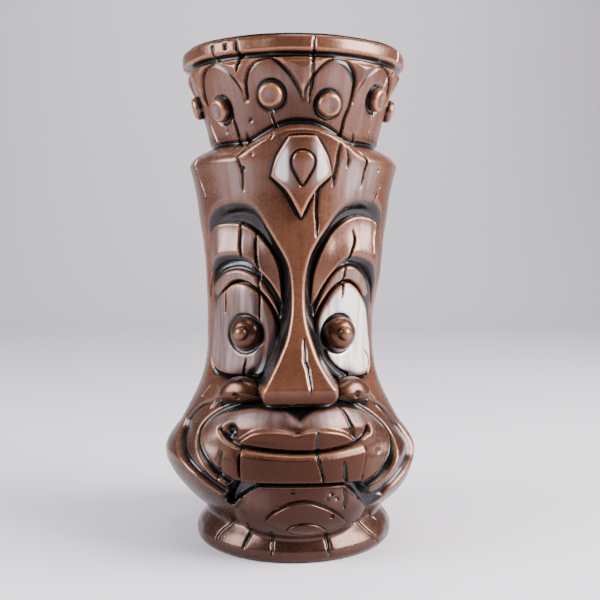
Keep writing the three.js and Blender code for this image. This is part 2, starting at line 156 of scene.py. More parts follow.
def to_line(s, z, line, stretch=1.0, reach=12.0, closed=False):
    """The distance to a line, and how far along it the nearest point is, from 0 to 1."""
    near = np.full(s.shape, float(reach))
    share = np.zeros(s.shape)
    low, high = line.min(0) - reach, line.max(0) + reach
    m = (s > low[0]) & (s < high[0]) & (z > low[1]) & (z < high[1])
    if not m.any():
        return near, share
    ps, pz = s[m] * stretch, z[m]
    best = np.full(ps.shape, float(reach) ** 2)
    place = np.zeros(ps.shape)
    ends = np.vstack([line, line[:1]]) if closed else line
    ends = ends * [stretch, 1]
    count = len(ends) - 1
    for i, (a, b) in enumerate(zip(ends[:-1], ends[1:])):
        run = b - a
        t = np.clip(((ps - a[0]) * run[0] + (pz - a[1]) * run[1]) / max(run @ run, 1e-9), 0, 1)
        d = (ps - a[0] - t * run[0]) ** 2 + (pz - a[1] - t * run[1]) ** 2
        closer = d < best
        best = np.where(closer, d, best)
        place = np.where(closer, (i + t) / count, place)
    near[m] = np.sqrt(best)
    share[m] = place
    return near, share


def depth_in(s, z, shape, stretch=1.0, reach=12.0):
    """How far inside a closed outline a point lies; outside it is negative."""
    near, _ = to_line(s, z, shape, stretch, reach, closed=True)
    low, high = shape.min(0), shape.max(0)
    m = (s > low[0]) & (s < high[0]) & (z > low[1]) & (z < high[1])
    inside = np.zeros(s.shape, bool)
    ps, pz = s[m], z[m]
    crossed = np.zeros(ps.shape, bool)
    for a, b in zip(shape, np.roll(shape, -1, axis=0)):
        spans = (a[1] > pz) != (b[1] > pz)
        rise = b[1] - a[1] if b[1] != a[1] else 1e-9
        crossed ^= spans & (ps < a[0] + (pz - a[1]) / rise * (b[0] - a[0]))
    inside[m] = crossed
    return np.where(inside, near, -near)


def round_off(d, width):
    """0 at an edge, rising like a quarter circle to 1 at width inside it."""
    t = np.clip(d / width, 0, 1)
    return np.sqrt(np.maximum(0, 1 - (1 - t) ** 2))


def ease_off(d, width):
    """0 at an edge, rising to 1 at width inside it, less steeply than round_off."""
    t = np.clip(d / width, 0, 1)
    return t * (2 - t)


def soft_max(a, b, width):
    """The larger of two heights, with the crease between them rounded over width."""
    h = np.clip(0.5 + 0.5 * (a - b) / width, 0, 1)
    return mix(b, a, h) + width * h * (1 - h)


def bump(x, centre, half):
    """A rounded ridge, 1 at the centre and 0 from half away."""
    t = np.clip(np.abs(x - centre) / half, 0, 1)
    return (1 - t * t) ** 2


# --- The turned shape ---

HEAD = [
    (0, 35.3), (0.8, 36.1), (2.2, 36.8), (4, 36.9), (6, 36.2), (7.8, 35.1), (9.4, 33.7), (11, 32.6),
    (12.6, 33.2), (15, 35.4), (18, 38.7), (21, 41.5), (25, 44.3), (29, 46.2), (32, 47.1), (34.5, 47.2),
    (37, 46.4), (40.5, 44.1), (44, 41.5), (48, 39.3), (52, 37.2), (56, 35.2), (60, 33.6), (66, 32),
    (73, 31.2), (82, 31.1), (90, 31.7), (97, 32.6), (105, 33.3), (112, 33.9), (120, 35), (127, 35.9),
    (131, 36.7), (135, 37.6), (138, 38.4), (SHOULDER, 38.7), (160, 40.5),
]
CROWN = [
    (CROWN_FOOT - 1, 30.8), (149, 31.6), (152.5, 32.4), (156, 33.4), (160, 34.5), (164, 35.8), (168, 37.2),
    (BAND_FOOT, 38.6),
]

# --- Outlines on the wall, as (S, Z) ---

# The forehead and nose stand over the sockets inside this outline.
FRONT = outline(
    [(-62, 152)],
    [(-62, 110), (-52, 107)],
    [(-44, 110), (-41.5, 113.8), (-38, 117.4), (-34, 119.8), (-30, 121.3), (-26, 122), (-22.5, 122.2),
     (-19.4, 121.8), (-16.3, 120.9), (-13.2, 118.7), (-10.3, 115.6), (-7.5, 111.4), (-4.8, 107), (-3, 103),
     (-2.2, 98), (-1.9, 92), (-2.1, 86), (-2.8, 81), (-3.7, 77), (-4.7, 74.2), (-5.7, 71.2), (-6.8, 68.3),
     (-8.3, 64)],
    [(-9.4, 61), (-9.5, 59), (-8.8, 57.2), (-6.6, 55.4), (-3, 54.6), (0.4, 54.4), (4, 54.6), (7.8, 55.4),
     (9.7, 57.2), (10.4, 59.4)],
    [(10, 62), (8.7, 64.7), (7, 68.5), (5.8, 71.6), (4.8, 75), (3.9, 78.3), (3.1, 81.6), (2.4, 86),
     (2.1, 92), (2.3, 97.4), (3.1, 102.6), (4.5, 107), (6.1, 110), (7.8, 112.7), (10, 115.4), (12.6, 118),
     (15.3, 120.1), (18.2, 121.7), (22, 122.9), (27, 123.3), (32.2, 122.6), (36.9, 120.4), (40.4, 116.4)],
    [(44, 109), (52, 107)],
    [(62, 110)],
    [(62, 152), (0, 153)],
)
BROW_TOPS = (
    [(-45.5, 101), (-44.6, 107), (-42.4, 112.6), (-38.6, 116), (-33.6, 117.7), (-27, 117.9),
     (-22.9, 117.3), (-19.8, 116.2), (-17.5, 114.9), (-15.4, 113.4), (-13.4, 111.6), (-11.2, 109.4),
     (-9.4, 107), (-8, 104.4), (-7, 101.4), (-6.5, 98), (-6.1, 94), (-5.6, 89)],
    [(5.2, 90), (5.5, 94.6), (6.2, 99.4), (7.4, 103.2), (9.1, 106.9), (11, 110.2), (13.5, 113.4),
     (16.2, 116), (19.3, 118.1), (22.5, 119.5), (26, 120.2), (30.6, 120.2), (35.6, 119), (39.6, 116),
     (43, 110.6), (45, 103)],
)
BROW_FEET = (
    [(-44.6, 91.5), (-43.4, 96), (-40.2, 100), (-35.5, 102.8), (-30.7, 104.1), (-25.9, 104.5),
     (-21.9, 104.1), (-18.2, 102.7), (-15.6, 101), (-13.1, 99), (-10.6, 96.4), (-8.2, 93), (-6.4, 89.4),
     (-5.2, 85)],
    [(5.3, 86), (7.4, 90), (9, 92.6), (9.9, 94.3), (11.5, 96.7), (13.6, 99.2), (15.8, 101.2),
     (18.2, 102.7), (21, 103.8), (24.2, 104.1), (28.5, 103.3), (32.7, 101.5), (37.1, 98.4), (40.5, 94),
     (43, 89)],
)
LIDS = (
    outline(
        [(-38.9, 91.4), (-35.4, 93.5), (-32.3, 95.4), (-29.4, 97), (-25.5, 97.6), (-21.8, 97),
         (-18.8, 95.8), (-16.5, 94.5), (-14.3, 93), (-12, 90.7), (-9.9, 88), (-8.3, 85)],
        [(-7.4, 81.7), (-6, 83.6), (-7.6, 87.4), (-9.6, 91), (-11.8, 93.9), (-13.9, 96.3), (-16.3, 98.4),
         (-18.8, 99.9), (-21.8, 101), (-25.5, 101.6), (-29.6, 101.3), (-34, 100), (-38.4, 97.2)],
        [(-41, 94)],
    ),
    outline(
        [(7.3, 79), (7.4, 81), (7.9, 83.6), (9.2, 87), (10.6, 89.4), (12.3, 91.6), (13.8, 93.3),
         (15.6, 95.1), (17.9, 96.6), (20.5, 97.4), (23.2, 97.7), (26.1, 97), (29.6, 95.3), (32.4, 93.1)],
        [(33.8, 91.4), (37.6, 92.4), (34.6, 97), (31, 100.2), (27, 102.2), (23.6, 102.9), (20.4, 102.4),
         (17.2, 100.9), (14.8, 99), (12.6, 96.3), (10.6, 93), (8.6, 89), (7, 84)],
    ),
)
EYES = (
    outline(
        [(-38.6, 90.8), (-35.2, 92.9), (-32.2, 94.7), (-29.3, 96.2), (-25.5, 96.8), (-22, 96.3),
         (-19.2, 95), (-16.9, 93.7), (-14.8, 92.1), (-12.6, 89.8), (-10.6, 87), (-9, 84), (-8, 80.7),
         (-7.6, 77.2), (-8, 73.7), (-9.1, 70.5), (-10.8, 67.9), (-13.6, 65.5), (-17, 64.2), (-22, 64.3),
         (-25.7, 64.2), (-30.6, 64), (-36.4, 64.9), (-41, 67.2), (-43.4, 70.4), (-43.8, 76), (-42.4, 83)],
    ),
    outline(
        [(8, 80.4), (7.9, 77.9), (8.5, 75), (9.4, 72), (10.7, 69.5), (12.6, 66.8), (15.2, 64.4),
         (18.4, 62.9), (22, 63.2), (26.3, 63.2), (31.3, 63), (36.3, 63.6), (39.2, 65.8), (41, 69),
         (41.6, 75), (40.2, 82), (37.2, 87.6), (33.4, 91.2), (29.4, 94.4), (26, 96.1), (23.2, 96.9),
         (20.6, 96.5), (18.3, 95.6), (16.1, 94.1), (14.2, 92.1), (12.8, 90.1), (11.2, 88.2), (9.8, 86),
         (8.5, 83)],
    ),
)
# The valley between the eyeball and the crescent on its nose side.
EYE_VALLEYS = (
    stroke(
        [(-16.9, 92.7), (-16.3, 87.5), (-15, 82.3), (-14.3, 77.1), (-14.8, 71.8), (-16, 68), (-18.4, 65)],
    ),
    stroke([(12.4, 73), (13, 71.4), (14.6, 69.3), (17.1, 67.1), (19.7, 65.5), (23, 64.2)]),
)
WINGS = (
    outline(
        [(-30.4, 55.4), (-30.6, 57.6), (-29, 60.6), (-26.2, 63), (-22.7, 64.3), (-18.9, 64.4),
         (-15.4, 63.2), (-12.4, 60.8), (-10.8, 58.4)],
        [(-10.4, 56.4), (-15, 55.6), (-20, 54.6), (-26, 53.8)],
    ),
    outline(
        [(11.4, 56.4), (11.8, 58.6), (13.4, 61), (16.4, 63), (20.2, 64), (24.5, 63.5), (28.4, 61.4),
         (30, 58.6)],
        [(29.6, 55), (25, 53.6), (20.4, 54), (15.6, 55.2)],
    ),
)
DIMPLES = ((-20.4, 58.3, 1.5), (20.9, 58.4, 1.6))
MUZZLE_LINE = outline(
    [(-17.7, 28.2), (-20, 29.5), (-22.5, 31), (-25, 33.4), (-27.4, 36), (-29.8, 38.6), (-31.8, 41),
     (-33.2, 43.6), (-33.6, 46), (-32.6, 48.4), (-30.8, 50.4), (-28.2, 52.2), (-25.1, 53.6), (-21.3, 54.6),
     (-17, 55.6), (-12, 56.4), (0, 56.4), (13.8, 56.6), (17.4, 55.9), (20.6, 54.9), (24.1, 53.3),
     (28, 50.8), (31.2, 48), (33, 45.4), (33.4, 42.6), (32.2, 39.6), (30.8, 37), (29.2, 34.4), (27.4, 32),
     (25.2, 30), (22.6, 28.4), (20.2, 26.9)],
    [(18, 25.4), (15.4, 26.8), (12, 28.9), (0, 29.4), (-12, 29.2), (-15, 28.8)],
)
FOLD = outline(
    [(-20.9, 24.6), (-23, 26.1), (-25.3, 27.9), (-27.8, 29.9), (-30.2, 31.8), (-33.3, 33.8), (-36.8, 35.8),
     (-40.4, 38), (-43.6, 40.4), (-46, 43), (-46.8, 45.6), (-45.6, 48.4), (-42.4, 51.2), (-38.3, 53.6),
     (-31.8, 55.6), (-26, 57)],
    [(-20, 59), (0, 60)],
    [(20, 59), (26, 57.4), (31.4, 55.4), (36.1, 53), (40.7, 50), (44.2, 46.8), (46, 43.6), (46.6, 40.2),
     (46.2, 36.6), (44.6, 33.2), (41, 30.8), (37.6, 28.9), (34.8, 27.2), (32.3, 25.5), (30.4, 24)],
    [(29, 22.4), (18, 22), (0, 24), (-14, 24)],
)
SMILE = stroke(
    [(-23.6, 47.2), (-21.6, 45), (-18.9, 43.3), (-16.5, 42.6), (-13, 42.1), (-9.2, 41.7), (-5.1, 41.3),
     (-1.1, 41), (3, 40.9), (6.3, 41), (10.1, 41.5), (13, 42.2), (16.1, 43.2), (19.1, 44.6), (20.9, 46),
     (21.9, 47.6)],
)
# The dips at the ends of the smile: place, half width, half height and depth.
SMILE_ENDS = ((-19.7, 46.7, 3.2, 3.6, 3.6), (21.6, 46.4, 1.5, 1.9, 1.6))
LIP = outline(
    [(-17.6, 43.2), (-16, 45), (-14.2, 46.6), (-12.4, 47.9), (-10, 48.5), (-6.3, 48.7), (-3.7, 48.5),
     (-1.8, 48)],
    [(-0.4, 47.4), (0.8, 47.9), (2, 48.4), (3.9, 48.7), (6.8, 48.8), (9.6, 48.3), (12.4, 47.3),
     (14.5, 45.8)],
    [(17, 43.8), (13, 42.4), (6, 41.2), (0, 41.1), (-8, 41.8)],
)
PHILTRUM = outline(
    [(-5.4, 57), (-3.9, 54.6), (-2.4, 52.6), (-0.6, 50.9)],
    [(0.4, 50.2), (1.4, 50.9), (3, 52.6), (5, 54.6)],
    [(6.6, 57)],
)
CHIN = outline(
    [(-11.4, 28.5), (0, 28.9)],
    [(13.4, 28.4), (16.4, 25.8), (19.6, 22.6)],
    [(23, 18.9), (25, 14.6), (22, 10.6), (14, 8.4), (0, 7.6), (-13, 8.6), (-20, 11), (-22.6, 14.8)],
    [(-21.1, 18.2), (-18.2, 22.2), (-16, 25.2), (-14, 27.2)],
)
# The wedge-shaped clefts between the chin and the cheeks.
CLEFTS = (
    outline(
        [(-10.2, 29.2), (-14.3, 26.6), (-18, 23.6)],
        [(-20.8, 20.6), (-22.8, 22.4), (-21.4, 25.8), (-20.2, 28.2)],
        [(-19, 30)],
    ),
    outline(
        [(13.4, 29), (16.6, 25.8), (19.3, 23.1), (21.6, 20.6)],
        [(24, 17.8), (27, 19.4)],
        [(28.6, 21.6), (25.4, 22.8), (22.4, 24.6), (20.4, 26.8)],
        [(19, 29)],
    ),
)
LENS = outline(
    [(-10.2, 16.3), (-7.7, 19.1), (-5.4, 20.9), (-2.8, 22.6), (0.4, 23.5), (3.6, 23.2), (6.8, 21.7),
     (10.1, 19.6), (13.3, 17.1)],
    [(16, 14.5), (12.1, 12.7), (8.6, 11.7), (2.4, 11), (-3.4, 12.3), (-7.9, 14.2)],
)
BEAD = outline(
    [(-3.8, 13), (-2, 14.9), (1.4, 16), (4.8, 15.4), (7.2, 14)],
    [(9.1, 12.4), (6.3, 11.3), (2.2, 10.9), (-1.2, 11.6)],
)
LIP_BAR = outline(
    [(-15.4, 30.8), (-2.4, 31), (8, 30.7)],
    [(17.1, 30.2), (17.8, 33), (18.4, 36), (18.9, 39)],
    [(18.7, 43), (12, 41.8), (6.3, 41), (0, 40.8), (-8, 41.3)],
    [(-15.5, 42.1), (-15.6, 36)],
)
KITE = on_crest(
    [(-9.8, 133), (-8.2, 138.4), (-6, 142.6)],
    [(-4, 146), (0, 146.2)],
    [(4.2, 146.2), (6, 142.8), (8, 138.8)],
    [(9.6, 133.6), (6.6, 131), (4.3, 128.3), (2.3, 125), (0.9, 122)],
    [(-0.2, 119.2), (-1.6, 122), (-3.2, 125.2), (-5, 128.3), (-7.2, 130.6)],
)
DROP = on_crest(
    [(0, 130.1), (1.8, 133.4), (3, 136.2), (3.1, 138.5), (1.9, 140.4), (0, 141.1), (-1.9, 140.5),
     (-2.9, 138.7), (-2.8, 136.1), (-1.6, 133.3)],
)


def leaf_sides(k):
    """The left and right sides of a leaf of the crown, from its tip up to the band."""
    tip, top, foot = LEAF_TIPS[k], 172.1, 159.3
    before, after = LEAF_TIPS[k - 1], LEAF_TIPS[(k + 1) % ORNAMENTS]
    round_mug = 2 * HALF_TURN
    reaches = -((tip - before) % round_mug) / 2 + 0.15, ((after - tip) % round_mug) / 2 - 0.15
    share = 0.04 + 0.96 * np.linspace(0, 1, 13) ** 1.8
    sides = []
    for reach, squareness in zip(reaches, SQUARENESS[k]):
        rise = (1 - (1 - share) ** squareness) ** (1 / squareness)
        rise[0] = 0
        sides.append(stroke(np.stack([tip + reach * share, foot + (top - foot) * rise], 1), per=4))
    return sides


# --- Cracks and pits ---

# Each crack is a run of points and its greatest half width.
CRACKS = [
    ([(5.3, 179.6), (5, 174), (4.9, 169), (4.8, 164), (4.2, 158)], 0.8),
    ([(20.9, 161), (20, 155), (18, 148), (17, 145.8)], 0.75),
    ([(-27.8, 160.2), (-26.4, 155), (-25, 148), (-24.8, 144.2), (-25.4, 142)], 0.65),
    ([(-20.8, 149.2), (-20, 145.5), (-18, 142.6), (-20.6, 139.6)], 0.65),
    ([(-9.9, 155.8), (-9.2, 153), (-8, 149.8)], 0.7),
    ([(25, 149.2), (25.3, 145.3)], 0.5),
    ([(-43.3, 155), (-41, 149.4), (-39, 145.7)], 0.35),
    ([(-28.2, 178), (-28, 172.6)], 0.5),
    ([(-19.5, 179), (-18.9, 172), (-19.3, 168)], 0.85),
    ([(-23.2, 177.9), (-23.2, 175.2)], 0.6),
    ([(40.6, 179.4), (39, 174.6)], 0.55),
    ([(39.4, 173), (37.4, 166), (35.4, 158), (34.6, 150)], 0.4),
    ([(-20, 140), (-19, 135.4), (-18.8, 128.2)], 0.7),
    ([(-42.5, 141.1), (-42.5, 136.6)], 0.55),
    ([(-42.4, 136), (-40.6, 131), (-39, 126)], 0.3),
    ([(13.3, 144.6), (12.9, 138.6), (12.1, 129.6)], 0.8),
    ([(15.9, 142.8), (17, 139.5), (16.3, 136)], 0.6),
    ([(20.6, 143.4), (24, 140), (24.2, 135.1), (23.1, 129.4)], 0.65),
    ([(33.4, 129.5), (31.9, 124.6)], 0.5),
    ([(6.9, 130), (6.5, 121.9), (6.5, 112.4)], 0.85),
    ([(-8.7, 145.1), (-7.9, 147.8)], 0.5),
    ([(-23.5, 117.7), (-23.1, 111.8), (-22.2, 105.7)], 0.95),
    ([(-16.4, 114.6), (-16.7, 110.1), (-16.1, 104.2), (-15.2, 101.6)], 1.0),
    ([(23.7, 115.6), (24.2, 111.8), (22.8, 108.3), (20.2, 104.2)], 0.8),
    ([(22, 103.8), (20.8, 99.6), (20.2, 96.8), (20.4, 94.3), (20, 91.2)], 0.75),
    ([(36.3, 120), (35.5, 113.6), (33.9, 106)], 0.55),
    ([(-16.2, 101.4), (-16.5, 96.2), (-16.1, 91), (-16.2, 83.6)], 0.9),
    ([(-32.3, 95.5), (-32.3, 90.5), (-32.4, 85)], 0.5),
    ([(-21.4, 70.4), (-22.5, 66.8), (-23, 63.8)], 0.75),
    ([(1.3, 79), (2, 73.6), (2.3, 70.2), (2.9, 66.9), (3.4, 60.4)], 0.6),
    ([(35, 73.2), (37.6, 70), (38.2, 67.3), (36.8, 64.9)], 0.5),
    ([(4.9, 48.8), (4.9, 42.2), (5.3, 38.7), (5.8, 31)], 0.65),
    ([(12.4, 38), (12.4, 30.6)], 0.85),
    ([(13.3, 56.4), (14.4, 51.1), (15.6, 47.5), (15.8, 44)], 0.75),
    ([(-22.3, 40.8), (-22.7, 35), (-23.1, 29.6)], 0.65),
    ([(14.2, 27), (14.7, 23.3), (14.4, 19.6)], 0.85),
    ([(-24.6, 17.6), (-27.7, 11.1), (-31.5, 6.6), (-32.1, 2.5)], 0.6),
    ([(-17.2, 14.4), (-17.7, 9.5), (-19.5, 4)], 0.8),
    ([(-8.7, 11.9), (-9, 6.9), (-9, 3.2)], 0.6),
    ([(9.6, 11), (11, 6.4), (11.3, 2.3)], 0.85),
    ([(24.6, 14.4), (28.5, 8.3), (33.9, 2)], 0.5),
    ([(30.6, 16), (34.6, 12), (39.4, 8)], 0.4),
    ([(-20.2, 19.9), (-17.8, 18.5), (-15.3, 17)], 0.35),
    ([(-38.2, 59.8), (-43.3, 54)], 0.4),
    ([(-31.4, 56), (-34.4, 51.6)], 0.4),
    ([(29.1, 62.3), (31, 58.6), (35, 53.6)], 0.4),
    ([(32.6, 55), (36.4, 49.7), (40.4, 44.7), (44.4, 39.8)], 0.4),
]
# Each pit is a place and a radius.
PITS = [
    (-18.2, 153, 0.95), (-30.7, 149.8, 0.8), (31.2, 136.3, 0.75), (34, 130.5, 0.6), (-18.2, 136.1, 1.1),
    (-14.7, 140.6, 0.6), (-1.6, 27.3, 0.55), (9.6, 26, 1.0), (11.5, 24.1, 0.9), (8.4, 24.4, 0.6),
    (10, 18, 0.95), (24.8, 38.8, 0.6), (-6.4, 21.6, 0.6),
]
rng = np.random.default_rng(7)


def back_cracks():
    """Cracks that run with the grain round the back of the head."""
    spans = [
        (2, 9), (18, 40), (48, 100), (60, 128), (104, 138), (124, 146), (147, 160), (150, 166), (172, 179),
    ]
    found = []
    for k in range(BACK_CRACKS):
        s = 52 + 122 * (k + rng.uniform(0.1, 0.9)) / BACK_CRACKS
        low, high = spans[k * 5 % len(spans)]
        length = min(high - low, rng.uniform(6, 26))
        start = rng.uniform(low, high - length)
        drift = rng.uniform(-1.2, 1.2)
        s = s - 2 * HALF_TURN if s > HALF_TURN else s
        run = [(s, start + length), (s + drift * 0.3, start + length * 0.5), (s + drift, start)]
        found.append((run, rng.uniform(0.35, 0.8)))
    return found


def waver(points, size):
    """A crack's line, shaken a little from side to side."""
    line = stroke(points, per=6)
    shake = rng.normal(0, size, len(line))
    shake = np.convolve(np.pad(shake, 2, mode="edge"), [0.15, 0.2, 0.3, 0.2, 0.15], mode="valid")
    return line + np.stack([shake, 0 * shake], 1)


CRACK_LINES = [(waver(points, 0.35), width) for points, width in CRACKS + back_cracks()]


def carved(s, z):
    """How deep the cracks and pits are cut."""
    cut = np.zeros(s.shape)
    for line, width in CRACK_LINES:
        near, share = to_line(s, z, line, reach=2.0)
        taper = np.sqrt(np.clip(4 * share * (1 - share), 0.03, 1))
        half = width * taper
        full = CRACK_DEPTH * np.minimum(1, 0.35 + taper)
        cut = np.maximum(cut, full * (1 - step(near, 0.25 * half, half)))
    for ps, pz, radius in PITS:
        d = np.hypot(s - ps, z - pz)
        cut = np.maximum(cut, 0.9 * (1 - step(d, 0.3 * radius, radius)))
    return cut


# --- The relief of the wall ---

# The rise of the shoulder's arch by the distance from the crest.
ARCH = [(0, 1.0), (4, 0.96), (8, 0.84), (12, 0.62), (16, 0.36), (19, 0.16), (23, 0)]
# By height: the radius in the middle of the forehead and nose, and the muzzle's in its middle and at its
# sides, its half width, and the chin's radius in its middle.
NOSE = [
    (50, 40), (53.6, 41.4), (55, 42.8), (57, 44.2), (60, 45.3), (62, 45.7), (64, 45), (68, 43.6),
    (75, 41.4), (85, 38.9), (95, 37.3), (105, 36.5), (115, 36.2), (126, 36.6), (133, 37.6),
    (SHOULDER, 38.9), (160, 41),
]
MUZZLE_TOP = 57.5
MUZZLE_MIDDLE = [
    (24, 42.8), (28, 43.4), (31, 44), (36, 44.5), (41, 44.3), (45, 44.9), (48.4, 45.3), (51, 44.2),
    (53.6, 42.4), (57, 39.6),
]
MUZZLE_SIDE = [(24, 44), (31, 46.2), (36, 46.4), (42, 44), (47, 41.2), (52, 38.6), (57, 36.4)]
MUZZLE_HALF = [(24, 24), (28, 28.5), (33, 32), (38, 33.8), (43, 33.4), (48, 30), (52, 26), (57, 22)]
CHIN_MIDDLE = [(6, 36.2), (8.5, 36.6), (11, 37.6), (14, 39.4), (18, 41.2), (24, 42.6), (29, 42.9)]


def lean(s, z):
    """How much farther out the wall is on the left, where the cheeks and the neck are fuller."""
    return -1.3 * np.sin(s / MAP) * step(z, 20, 34) * (1 - step(z, 80, 105))


def wrap(s):
    """The same arc within half a turn of the middle of the face."""
    return (s + HALF_TURN) % (2 * HALF_TURN) - HALF_TURN


def forehead(s, z):
    """The forehead is fuller than the head in the middle; lower down it narrows to the flat nose."""
    spread = 1 - step(np.abs(s), 10, 44)
    nose = 1 - step(z, 84, 110)
    flat = 0.8 * along(NOSE, z) * (1 / np.cos(np.clip(s / MAP, -0.6, 0.6)) - 1)
    return mix(along(HEAD, z), along(NOSE, z), np.maximum(spread, nose)) + nose * flat


def socket_floor(s, z):
    """The floor of the eye sockets, deeper in the coves under the brows."""
    fade = 1 - step(np.abs(s), 27, 46)
    cove = 0.9 * step(z, 104, 114) * step(np.abs(s), 10, 16)
    return along(HEAD, z) - (SOCKET_DEPTH + cove) * fade * step(z, 59.5, 64)


def with_shoulder(s, z, r):
    """The sloping shoulder, its arch over the crest, and the crown's wall above it."""
    lift = along(ARCH, np.abs(s - CREST))
    ridge = SHOULDER + 9.3 * lift
    top = 145 + 6.4 * lift
    share = np.clip((z - ridge) / (top - ridge), 0, 1)
    wall = along(CROWN, z)
    slope = mix(r, wall, 0.35 * share + 0.65 * share**2)
    edge = r - 0.35 * (1 - round_off(ridge - z, 1.2))
    out = np.where(z < ridge, edge, np.where(z < top, slope - 0.35, wall))
    return out - 0.8 * bump(z, top + 0.5, 1.2)


def with_band(s, z, r):
    """The rim band, with a groove under it."""
    band = step(z, BAND_FOOT + 0.3, BAND_FOOT + 1.3)
    rounding = 1.5 * (1 - round_off(TOP - 0.5 - z, 2.2)) + 0.7 * (1 - round_off(z - BAND_FOOT - 0.6, 1.6))
    dip = 0.5 * bump(s, -14, 10)
    return mix(r, BAND_RADIUS - dip - rounding, band) - bump(z, BAND_FOOT + 0.1, 1.1)


def face(s, z):
    """Forehead and nose, rolling over into the eye sockets."""
    front, floor = forehead(s, z), socket_floor(s, z)
    d = depth_in(s, z, FRONT, 0.97, 14)
    height = np.maximum(front - floor, 0)
    brow = step(np.abs(s), 8, 19) * step(z, 104, 112)
    width = mix(1.2, 4.6, brow)
    roll = mix(np.minimum(0.5 * height, 0.5), np.minimum(0.85 * height, 3.6), brow)
    edge = front - roll * (1 - ease_off(d, width))
    steep = mix(2.8, 2.2, step(z, 62, 84))
    wall = edge - steep * np.maximum(-d, 0)
    out = np.where(d > 0, edge, soft_max(wall, floor, 0.5))
    return np.where(d < -9, floor, out)


def with_eyes(s, z, r):
    """The lids, and the grooves round the eyeballs."""
    floor = socket_floor(s, z)
    fade = 1 - step(np.abs(s), 31, 42)
    for shape in LIDS:
        d = depth_in(s, z, shape, 0.9, 6)
        r = np.where(d > -0.5, soft_max(r, floor + 1.8 * step(d, -0.4, 0.7) * fade - 0.3, 0.25), r)
    for shape in EYES:
        d = depth_in(s, z, shape, 0.9, 6)
        lower = 1 - step(z, 70, 80)
        r = r - 0.9 * bump(d, -0.3, 1.3) * np.maximum(fade, lower)
    return r


def with_muzzle(s, z, r):
    """The muzzle's bulge, with a fold of cheek round it."""
    d = depth_in(s, z, FOLD, 1.1, 12)
    low = 1 - step(z, 40, 52)
    valley = step(d, -1.2, 0.8) * (1 - step(d, 0.8, 9))
    r = r - mix(0.8, 2.0, low) * valley - mix(0.2, 0.6, low) * bump(d, 0.6, 1.4)
    d = depth_in(s, z, MUZZLE_LINE, 1.1, 16)
    share = np.clip(np.abs(s) / along(MUZZLE_HALF, z), 0, 1.2)
    bulge = mix(along(MUZZLE_SIDE, z), along(MUZZLE_MIDDLE, z), np.clip(1 - share**2.6, 0, 1))
    r = r + 0.7 * bump(d, -0.9, 1.1)
    r = mix(r, bulge, step(d, -0.3, 1.1))
    return r - 1.8 * bump(d, 0.8, 1.5)


def with_mouth(s, z, r):
    """The upper lip, the smile, the dip under the nose and the grooves round the lower lip."""
    lip = depth_in(s, z, LIP, 1.2, 8)
    r = r + (1.8 - 0.16 * np.clip(lip, 0, 6)) * step(lip, -0.3, 0.9)
    near, _ = to_line(s, z, SMILE, 1.15, 8)
    r = r - 2.2 * (1 - step(near, 0.2, 0.95))
    notch = depth_in(s, z, PHILTRUM, 1.0, 6)
    r = r - 2.6 * step(notch, -0.4, 2.0)
    for ps, pz, across, up, deep in SMILE_ENDS:
        dip = np.hypot((s - ps) / across, (z - pz) / up)
        r = r - deep * (1 - step(dip, 0.2, 1.0))
    bar = depth_in(s, z, LIP_BAR, 1.2, 6)
    right = step(s, 15, 18) * (z > 32)
    r = r - mix(2.2, 0.7, right) * bump(bar, -0.5, mix(1.7, 0.9, right)) * (1 - step(z, 38, 41))
    return r - 1.6 * bump(z, 29.4, 1.3) * (1 - step(np.abs(s), 16, 19))


def chin_front(s, z):
    """The front of the chin, which falls back to both sides."""
    return along(CHIN_MIDDLE, z) - 0.0042 * (s - 1) ** 2


def cleft_depth(s, z):
    """How far inside a cleft beside the chin a point lies."""
    return np.maximum(*(depth_in(s, z, shape, 1.1, 4) for shape in CLEFTS))


def with_chin(s, z, r):
    """The chin, which runs into the neck below, and the clefts beside it."""
    d = depth_in(s, z, CHIN, 1.1, 10)
    front = chin_front(s, z)
    soft = mix(3.0, 1.0, step(z, 12, 18))
    chin = np.where(z < 18, np.maximum(front, r), front - 0.5 * (1 - ease_off(d, 1.8)))
    r = mix(r, chin, step(d, -0.5 * soft, soft))
    floor = front + mix(-2.2, 1.2, step(np.abs(s), 20, 30))
    return mix(r, np.minimum(r, floor), step(cleft_depth(s, z), -0.4, 1.0))


def rings_round(s, z, places, radius, width):
    """1 on a ring round each place, 0 away from it."""
    ring = np.zeros(s.shape)
    for ps, pz, scale in places:
        ring = np.maximum(ring, bump(np.hypot((s - ps) * scale, z - pz), radius, width))
    return ring


def relief(s, z):
    """The radius of the wall without its ornaments."""
    r = face(s, z)
    r = mix(r, along(HEAD, z), 1 - step(z, 53.6, 54.6))  # under the nose
    r = with_eyes(s, z, r)
    r = np.where(z < MUZZLE_TOP, with_muzzle(s, z, r), r)
    r = np.where(z < MUZZLE_TOP, with_mouth(s, z, r), r)
    r = np.where(z < 32, with_chin(s, z, r), r)
    r = np.where(z > 137, with_shoulder(s, z, r), r)
    r = r - 0.7 * rings_round(s, z, STUD_PLACES, 4.5, 1.2)
    return np.where(z > 170, with_band(s, z, r), r)


# --- Ornaments, as pads on the wall ---

def place_of(node):
    """The arc and the height at which a round piece of the frame stands."""
    low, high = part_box(node)
    return math.atan2(low.x + high.x, -low.y - high.y) * MAP, (low.z + high.z) / 2 / MM


STUD_PLACES = [(*place_of(f"crown_stud_{k + 1:02d}"), 0.95) for k in range(ORNAMENTS)]
PUPIL_PLACES = [(*place_of(f"pupil_{name}"), 0.85) for name in ("left", "right")]


